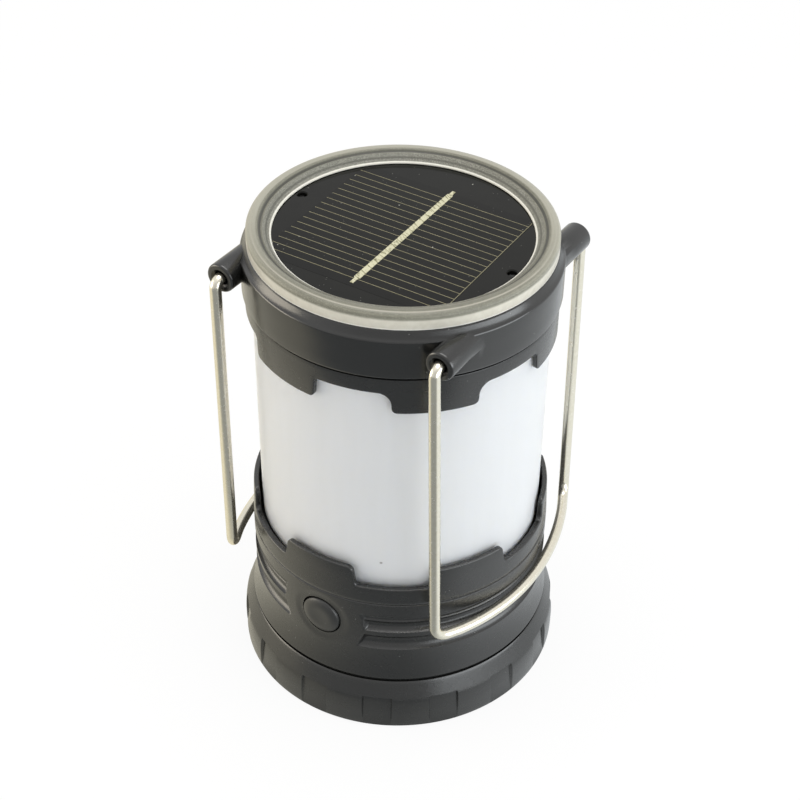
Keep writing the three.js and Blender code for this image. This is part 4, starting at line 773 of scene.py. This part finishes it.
# The highest groove starts inside the middle one, so its foot needs no row.
groove_edges = [top for _, top, _ in GROOVES] + [foot for foot, _, _ in GROOVES[:2]]
for z in np.unique([*np.arange(28.6, SEAM_Z - 0.5, 0.28).round(2), *groove_edges]):
    wall.row(HOUSING_RADIUS, z)
for in_by, up_by in [(0, -0.4), (0.08, -0.28), (0.5, -0.12), (0.6, 0), (0.5, 0.12), (0.08, 0.28), (0, 0.4),
                     (0.02, 1.2)]:
    wall.row(HOUSING_RADIUS - in_by, SEAM_Z + up_by)
tooth_foot = SEAM_Z + 1.2
for share in (0.33, 0.66):
    z = tooth_foot + (wall.edge_height(EDGE) - tooth_foot) * share
    wall.row(collar_outside(z), z)
wall.round_edge(EDGE, collar_outside, 6)
wall.round_edge(-0.3, COLLAR_BORE, 4)
for r, z in [(42.4, 50), (42.4, 46.2), (37.4, 46.2), (37.4, 44.0), (40.2, 42.4), (40.2, 22.0), (42.9, 21.5)]:
    wall.row(r, z)
housing_mesh = wall.mesh("housing_blank")
print("housing blank faces", len(housing_mesh.polygons))


# %% Waist grooves
def hollow(z, foot, top, depth):
    """How deep a groove is at a height, where its section is an arc `depth` deep between foot and top."""
    half, off = (top - foot) / 2, z - (foot + top) / 2
    bend_radius = (half * half + depth * depth) / (2 * depth)
    return ((bend_radius * bend_radius - off * off).most(0.0).sqrt() - (bend_radius - depth)).most(0.0)


tree, size = node_group("press_waist", {"radius": HOUSING_RADIUS, "pad": 13.9, "button height": BUTTON_Z,
                                        "aside": BUTTON_ASIDE, "dish": 0.3, "dish radius": 9.6})
x, y, z = [part * 1000 for part in tree.split(tree.node("GeometryNodeInputPosition"))]
radius = (x * x + y * y).sqrt()
sideways = x.math("ARCTAN2", -y) * size["radius"] - size["aside"]
lift = z - size["button height"]
away = (sideways * sideways + lift * lift).sqrt()
lowest, middle, highest = (hollow(z, *groove) for groove in GROOVES)
grooves = lowest.most(middle).most(highest)
press = grooves * away.rise(size["pad"] - 0.4, size["pad"] + 1.0)
press = press + (1 - away.rise(size["dish radius"] - 2.6, size["dish radius"])) * size["dish"]
outside = radius.above(43.6) * z.above(28.0) * z.below(46.9)
scale = (radius - press * outside) / radius
press_waist = close_group(tree, pressed(tree, size["Geometry"], x * scale, y * scale, z), black_plastic)
housing_mesh = grown("lower_housing", housing_mesh, press_waist, sharp=0)
bore_outline = [(0, 30), (6.42, 30), (6.42, 43.3), (6.75, 44.1), (6.75, 50), (0, 50)]
button_place = {"turn": (90, 0, 0), "move": (BUTTON_ASIDE, 0, BUTTON_Z)}
housing_mesh = carved(housing_mesh, placed(turned("bore", bore_outline, 72), **button_place))
shade(housing_mesh, 40)
piece("lower_housing", housing_mesh, black_plastic, "lantern_body", ["housing"])

# %% [markdown]
# ## Push button
# A low dome with a slight hollow for the fingertip. It is turned about its own axis and laid along Y, and
# it stands for the packed button, so it moves when the button's joint moves.

# %% Push button
button_outline = [(0, 34.7), (2.5, 34.7), (2.5, 37.3), (7.15, 37.3), (7.15, 38.4), (6.1, 38.4), (6.1, 44.0)]
button_outline += [(6.02, 44.25), (5.8, 44.45), (5.2, 44.75), (4.5, 45.0), (3.8, 45.14), (2.8, 45.14)]
button_outline += [(1.7, 45.06), (0, 45.02)]
button_mesh = placed(turned("push_button", button_outline, 72, sharp=45), **button_place)
piece("push_button", button_mesh, button_plastic, "power_button", ["power_button"])

# %% [markdown]
# ## Diffuser
# A plain thick tube with a stepped foot inside the collar and a neck under the cap. Only its straight side
# shows, so the drawing is the packed one with soft corners and many more facets.

# %% Diffuser
tube_outside = [(40.7, 46.4), (40.7, 51.4), (41.5, 51.8), (41.5, 126.5), (39.6, 126.5), (39.6, 132.4)]
tube_inside = [(35.7, 132.4), (35.7, 130.8), (38.0, 130.8), (38.0, 124.9), (39.7, 123.3)]
tube_inside += [(39.7, 53.4), (39.4, 46.4)]
tube_outline = rounded(tube_outside + tube_inside, {3: 0.5, 1: 0.2, 2: 0.2})
piece("opal_tube", turned("opal_tube", tube_outline, 240), opal, "lantern_body", ["diffuser"])

# %% [markdown]
# ## Skirt
# The skirt hangs from the cap and its teeth point down. It is drawn with the same edge as the collar, but
# with wide fillets at the roots, which give its scallops their soft shoulders.

# %% Skirt
SKIRT_RADIUS, SKIRT_BORE, SKIRT_NOTCH = 43.3, 41.85, 123.65
wall = ToothedWall(SKIRT_TOOTH, SKIRT_RADIUS, SKIRT_NOTCH, -1, lambda angle: 1.0)
for r, z in [(39.9, 126.7), (39.9, 132.1), (41.7, 132.1), (41.7, 128.3), (43.05, 128.3), (43.23, 128.2),
             (SKIRT_RADIUS, 128.0), (SKIRT_RADIUS, 127.0), (SKIRT_RADIUS, 125.4)]:
    wall.row(r, z)
wall.round_edge(0.25, SKIRT_RADIUS, 5)
wall.round_edge(-0.2, SKIRT_BORE, 3)
wall.row(SKIRT_BORE, 126.7)
skirt_mesh = wall.mesh("toothed_skirt")
piece("toothed_skirt", skirt_mesh, black_plastic, "lantern_body", ["skirt_ring"])

# %% [markdown]
# ## Cap
# The cap's side is straight, with a rounded foot that catches the light and a soft shoulder below the rim.
# Four ears for the bails are moulded against it as round tubes along Y. They are joined to the turned shell
# by a Boolean, and their bores are drilled afterwards.

# %% Cap
CAP_RADIUS, CAP_CORNER, HINGE_X, HINGE_Z, PIN_X = 44.05, 0.9, 34.1, 137.4, 33.7
corner_at = CAP_RADIUS - CAP_CORNER
cap_outline = [(42.25, 129.1), (42.4, 128.9), *arc(corner_at, 129.8, CAP_CORNER, -90, 0, 6),
               (CAP_RADIUS, 132.5), (CAP_RADIUS, 136.5), *arc(corner_at, 140.3, CAP_CORNER, 0, 58, 5),
               (42.9, 142.0), (42.45, 142.9), (42.3, 143.1), (42.1, 143.3), (39.9, 143.3), (39.9, 141.6),
               (1.5, 141.6), (1.5, 139.4), (41.2, 139.4), (42.25, 138.4)]
ear_outline = [(0, 15.6), (4.2, 15.6), (4.2, 20.0), (4.2, 28.0), *arc(3.5, 35.9, 0.7, 0, 90, 4), (0, 36.6)]
ear = turned("ear", ear_outline, 48)
bore = turned("ear_bore", [(0, 28.1), (2.1, 28.1), (2.1, 35.9), (2.7, 36.5), (2.8, 38), (0, 38)], 40)
pin = turned("panel_pin", [(0, 141.0), (1.15, 141.0), (1.15, 144.0), (1.05, 144.1), (0, 144.1)], 24)
ears, bores = [], []
for side_x in (1, -1):
    for side_y in (1, -1):
        at = {"turn": (-90 * side_y, 0, 0), "move": (side_x * HINGE_X, 0, HINGE_Z)}
        ears.append(("add", placed(ear, **at)))
        bores.append(placed(bore, **at))
pins = [("add", placed(pin, move=(side * PIN_X, 0, 0))) for side in (1, -1)]
cap_mesh = carved(turned("cap_shell", cap_outline, 240), *ears, *pins, *bores)
shade(cap_mesh, 38)
piece("cap_with_ears", cap_mesh, cap_plastic, "lantern_body", ["top_cap"])

# %% [markdown]
# ## Rim
# The rim holds the panel down. Its section is a soft outer shoulder, a flat crest, a fine groove, a granular
# slope and a thin bright lip.

# %% Rim
shoulder = [(39.7, 143.4), (42.1, 143.4), (42.2, 143.55), (42.2, 146.6), *arc(41.0, 146.95, 1.2, 0, 62, 6)]
crest = [(41.1, 148.15), (40.6, 148.28), (40.2, 148.3), (39.4, 148.25), (39.05, 148.1)]
groove = [(38.85, 147.7), (38.5, 147.45), (38.1, 147.5), (37.85, 147.65)]
slope = [(37.6, 147.5), (36.6, 146.4), (36.1, 145.95)]
lip = [(35.85, 145.85), (35.6, 145.75), (35.5, 145.6), (35.5, 145.3)]
underside = [(37.2, 145.3), (37.2, 141.8), (39.7, 141.8)]
rim_mesh = turned("clear_rim", shoulder + crest + groove + slope + lip + underside, 288, sharp=50)
piece("clear_rim", rim_mesh, rim_clear, "lantern_body", ["rim_ring"])

# %% [markdown]
# ## Solar panel
# The round laminate has two pin holes. On it lies the square wafer with its corners clipped. A Geometry Nodes
# group prints the seventeen fingers: each is one strip on a line of points, and its length follows the round
# opening. The collector line and the busbar ribbon are two more strips.

# %% Panel plate
plate_outline = [(0, 143.0), (37.0, 143.0), (37.0, 145.0), (36.9, 145.1), (30, 145.1), (0, 145.1)]
hole = turned("panel_hole", [(0, 142), (1.35, 142), (1.35, 144.8), (1.7, 145.15), (1.7, 146), (0, 146)], 32)
holes = [placed(hole, move=(side * PIN_X, 0, 0)) for side in (1, -1)]
plate_mesh = carved(turned("panel_plate", plate_outline, 144), *holes)
shade(plate_mesh, 35)
piece("panel_plate", plate_mesh, panel_black, "lantern_body", ["solar_panel"])


# %% Wafer
def bar(name, x1, x2, y1, y2, z1, z2):
    """A flat strip with slightly drawn-in upper edges, in millimetres."""
    points = []
    for z, inset in ((z1, 0), (z2, min(0.04, (z2 - z1) * 0.5))):
        west, south, east, north = x1 + inset, y1 + inset, x2 - inset, y2 - inset
        points += [(west, south, z), (east, south, z), (east, north, z), (west, north, z)]
    sides = [(i, (i + 1) % 4, 4 + (i + 1) % 4, 4 + i) for i in range(4)]
    return finish_mesh(name, np.array(points) / 1000, [(3, 2, 1, 0), (4, 5, 6, 7), *sides])


WAFER_TURN, WAFER_Y, WAFER_TOP = 1.8, -2.4, 145.14


def on_wafer(mesh):
    """Turns and moves a mesh with the wafer, which was laid a little askew in its resin."""
    return placed(mesh, turn=(0, 0, WAFER_TURN), move=(0, WAFER_Y, 0))


wafer_disc = turned("wafer_disc", [(0, 140), (36.4, 140), (36.4, 150), (0, 150)], 144)
wafer_square = on_wafer(bar("wafer_square", -27.3, 27.3, -26.5, 26.5, 145.1, WAFER_TOP))
wafer_mesh = carved(wafer_square, ("clip", wafer_disc))
shade(wafer_mesh, 30)
piece("silicon_wafer", wafer_mesh, silicon, "lantern_body", ["solar_cell"])

# %% Fingers
tree, size = node_group("print_fingers", {"count": 17, "pitch": 2.89, "half length": 27.0, "opening": 36.0,
                                          "width": 0.2, "offset": WAFER_Y})
start = tree.join(0.0, (size["count"] - 1) * size["pitch"] * -0.5 / 1000, WAFER_TOP / 1000)
step = tree.join(0.0, size["pitch"] / 1000, 0.0)
line = tree.node("GeometryNodeMeshLine", None,
                 {"Count": size["count"], "Start Location": start, "Offset": step})
y = tree.split(tree.node("GeometryNodeInputPosition"))[1] * 1000 + size["offset"]
reach = (size["opening"] * size["opening"] - y * y).sqrt().least(size["half length"])
stretch = tree.join(reach * 2, size["width"], 1.0)
strips = tree.node("GeometryNodeInstanceOnPoints", None,
                   {"Points": line, "Instance": size["Geometry"], "Scale": stretch})
print_fingers = close_group(tree, strips, paste)
fingers = grown("cell_fingers", bar("unit_strip", -0.5, 0.5, -0.5, 0.5, 0, 0.03), print_fingers)
piece("cell_fingers", on_wafer(fingers), None, "lantern_body", [])
line_mesh = bar("collector_line", 26.85, 27.05, -21.5, 25.2, WAFER_TOP, WAFER_TOP + 0.035)
piece("collector_line", on_wafer(line_mesh), paste, "lantern_body", [])


# %% Busbar
def sheet_metal(name, outline, z1, z2):
    """A flat plate with a drawn outline, in millimetres."""
    count = len(outline)
    points = [(x, y, z1) for x, y in outline] + [(x, y, z2) for x, y in outline]
    sides = [(i, (i + 1) % count, count + (i + 1) % count, count + i) for i in range(count)]
    faces = [tuple(reversed(range(count))), tuple(range(count, 2 * count)), *sides]
    return finish_mesh(name, np.array(points) / 1000, faces)


ribbon_outline = [(-0.55, -25.2), (0.5, -25.2), (0.5, -22.9), (0.92, -22.5), (0.92, 25.2), (0.55, 25.8),
                  (0.55, 27.6), (-0.5, 27.6), (-0.55, 25.8), (-0.95, 25.4), (-0.95, -22.4), (-0.55, -22.9)]
RIBBON_X, RIBBON_THICK = 0.9, 0.05
ribbon_mesh = sheet_metal("busbar_ribbon", ribbon_outline, WAFER_TOP, WAFER_TOP + RIBBON_THICK)
ribbon_mesh = on_wafer(placed(ribbon_mesh, move=(RIBBON_X, 0, 0)))
piece("busbar_ribbon", ribbon_mesh, ribbon, "lantern_body", [])

# %% [markdown]
# ## Wire bails
# A bail is one piece of round wire, so it is a path with a circle swept along it. The path is drawn as
# points: a pin in each ear, a tight bend, a long leg, a wider bend and a bowed bar. The group turns the
# drawn edges into a curve, stores the distance along it for the finish, and sweeps the circle. The two wires
# were bent by hand: both lean a little to the right, and the right one is pinched at its front foot.

# %% Bail path
def bend(start, corner, end, radius, steps):
    """Points that round a corner between two straight stretches."""
    into, out = (start - corner).normalized(), (end - corner).normalized()
    half = into.angle(out) / 2
    middle = corner + (into + out).normalized() * (radius / math.sin(half))
    first = corner + into * (radius / math.tan(half)) - middle
    last = corner + out * (radius / math.tan(half)) - middle
    axis = first.cross(last).normalized()
    whole = first.angle(last)
    return [middle + Matrix.Rotation(whole * i / steps, 3, axis) @ first for i in range(steps + 1)]


LEG_Y, LEG_LENGTH, LEG_LEAN, BOW, DROOP = 38.5, 95.874, 1.3, 10.146, math.radians(15)
outwards = Vector((math.cos(DROOP), 0, -math.sin(DROOP)))
bow_radius = (LEG_Y ** 2 + BOW ** 2) / (2 * BOW)
half_angle = math.asin(LEG_Y / bow_radius)


def bar_point(share):
    turn = half_angle * share
    out = BOW - bow_radius * (1 - math.cos(turn))
    return Vector((LEG_LEAN, bow_radius * math.sin(turn), -LEG_LENGTH)) + outwards * out


pin_start, elbow = Vector((0, 29.1, 0)), Vector((0, LEG_Y, 0))
foot_corner = Vector((LEG_LEAN, LEG_Y, -LEG_LENGTH))
bar_points = [bar_point(0.8 * (1 - 2 * i / 32)) for i in range(33)]
down = [pin_start, *bend(pin_start, elbow, foot_corner, 2.4, 10)]
leg_steps = [down[-1].lerp(foot_corner, t) for t in (0.2, 0.4, 0.6, 0.8)]
down += leg_steps + bend(elbow, foot_corner, bar_points[0], 5, 12)
path = down + bar_points + [Vector((p.x, -p.y, p.z)) for p in reversed(down)]
print("bail wire length", round(sum((b - a).length for a, b in zip(path, path[1:])), 1), "mm")

# %% Bails
tree, size = node_group("sweep_wire", {"wire radius": 1.6, "facets": 28})


def remember(name, geometry, value):
    """Stores a value on each point of a curve, where a finish can read it by name."""
    inputs = {"Geometry": geometry, "Name": name, "Value": value}
    return tree.node("GeometryNodeStoreNamedAttribute", {"data_type": "FLOAT", "domain": "POINT"}, inputs)


curve = tree.node("GeometryNodeMeshToCurve", None, {0: size["Geometry"]})
curve = remember("along", curve, tree.node("GeometryNodeSplineParameter", out="Length") * 1000)
circle = tree.node("GeometryNodeCurvePrimitiveCircle", None,
                   {"Resolution": size["facets"], "Radius": size["wire radius"] / 1000})
circle = remember("around", circle, tree.node("GeometryNodeSplineParameter", out="Factor"))
swept = {"Curve": curve, "Profile Curve": circle, "Fill Caps": True}
wire = tree.node("GeometryNodeCurveToMesh", None, swept)
sweep_wire = close_group(tree, wire, nickel)
for name, side, lean, pinch in (("right", 1, 0.6, 0.022), ("left", -1, -0.6, 0.0)):
    points = []
    for p in path:
        low = -p.z / LEG_LENGTH
        y = p.y * (1 - pinch * low if p.y < 0 else 1)
        points.append(((HINGE_X + p.x + lean * low) * side / 1000, y * side / 1000, (HINGE_Z + p.z) / 1000))
    drawn = bpy.data.meshes.new("bail_path")
    drawn.from_pydata(points, [(i, i + 1) for i in range(len(points) - 1)], [])
    bail_mesh = grown(f"wire_bail_{name}", drawn, sweep_wire, sharp=40)
    piece(f"wire_bail_{name}", bail_mesh, None, f"bail_{name}", [f"bail_{name}"])

# %% [markdown]
# ## Studio
# A pale floor, three soft lamps and a pale surround. The camera sees the surround at full white and the floor
# nearly so, while the lantern is lit mostly by the lamps, so its colours keep their level. Glossy black
# plastic is read by what it mirrors, and upright walls mirror the floor. So for mirrored rays alone the floor
# is tinted: warm on the left, cool on the right, and dark further out towards the lens, which gives the walls
# that face it their deep black.

# %% Floor
floor_mesh = bpy.data.meshes.new("floor")
floor_mesh.from_pydata([(-6, -6, 0), (6, -6, 0), (6, 6, 0), (-6, 6, 0)], [], [(0, 1, 2, 3)])
floor = bpy.data.objects.new("floor", floor_mesh)
floor.location.z = -0.00005
scene.collection.objects.link(floor)
floor_finish = bpy.data.materials.new("pale_floor")
floor_finish.use_nodes = True
tree = Tree(floor_finish.node_tree)
tree.tree.nodes.clear()
seen, mirrored = tree.rays("Is Camera Ray", "Is Glossy Ray")
x, y, _ = tree.split(tree.node("ShaderNodeTexCoord", out="Object"))
aside = towards_right(x, y)
in_front = towards_lens(x, y) - aside.most(0.0) * 1.2 - (-aside).most(0.0) * 0.4
tint = tree.mix(aside.rise(-0.06, 0.04), rgb(0.90, 0.85, 0.68), rgb(0.94, 0.98, 1.0))
tint = tree.mix(in_front.rise(-0.02, 0.09), tint, rgb(0.25, 0.27, 0.28))
tint = tree.mix(mirrored, rgb(1, 1, 1), tint)
matt = tree.node("ShaderNodeBsdfDiffuse", None, {"Color": rgb(0.86, 0.86, 0.86)})
white = tree.node("ShaderNodeEmission", None, {"Color": tint, "Strength": 1.0})
shown = tree.node("ShaderNodeMixShader", None, {0: seen * 0.90 + mirrored * 0.9, 1: matt, 2: white})
tree.end("ShaderNodeOutputMaterial", shown.socket)
floor_mesh.materials.append(floor_finish)
print("floor nodes:", len(tree.tree.nodes))


# %% Lamps
def lamp(name, place, target, width, height, power, color):
    data = bpy.data.lights.new(name, "AREA")
    data.shape, data.size, data.size_y = "RECTANGLE", width, height
    data.energy, data.color = power, color
    thing = bpy.data.objects.new(name, data)
    thing.location = place
    thing.rotation_euler = (Vector(target) - Vector(place)).to_track_quat("-Z", "Y").to_euler()
    scene.collection.objects.link(thing)


lamp("window_right", (0.96, -0.06, 0.27), (0, 0, 0.08), 1.15, 0.52, 6.4, (0.92, 0.97, 1.0))
lamp("window_left", (-0.95, -0.60, 0.28), (0, 0, 0.08), 0.7, 0.54, 4.8, (1.0, 0.91, 0.74))
lamp("overhead", (0.0, 0.1, 1.3), (0, 0, 0.1), 0.9, 0.7, 7, (1.0, 0.99, 0.96))
print("lamps:", len(bpy.data.lights))

# %% Surround
world = bpy.data.worlds.new("surround")
scene.world = world
world.use_nodes = True
tree = Tree(world.node_tree)
tree.tree.nodes.clear()
camera_ray, passing_ray, glossy_ray = tree.rays("Is Camera Ray", "Is Transmission Ray", "Is Glossy Ray")
x, y, z = tree.split(tree.node("ShaderNodeTexCoord", out="Generated"))
room = 0.50 + abs(towards_right(x, y)).rise(0.35, 0.95) * 0.24 + z.rise(0.62, 0.95) * 0.45
behind_lens = towards_lens(x, y).rise(0.2, 0.8)
plain = (camera_ray + passing_ray + glossy_ray * (0.75 - behind_lens * 0.45)).least(1.0)
strength = plain + (1 - plain) * room
background = tree.node("ShaderNodeBackground", None, {"Color": rgb(1, 1, 1), "Strength": strength})
tree.end("ShaderNodeOutputWorld", background.socket)
scene.view_settings.view_transform = "Standard"
print("surround nodes:", len(tree.tree.nodes))
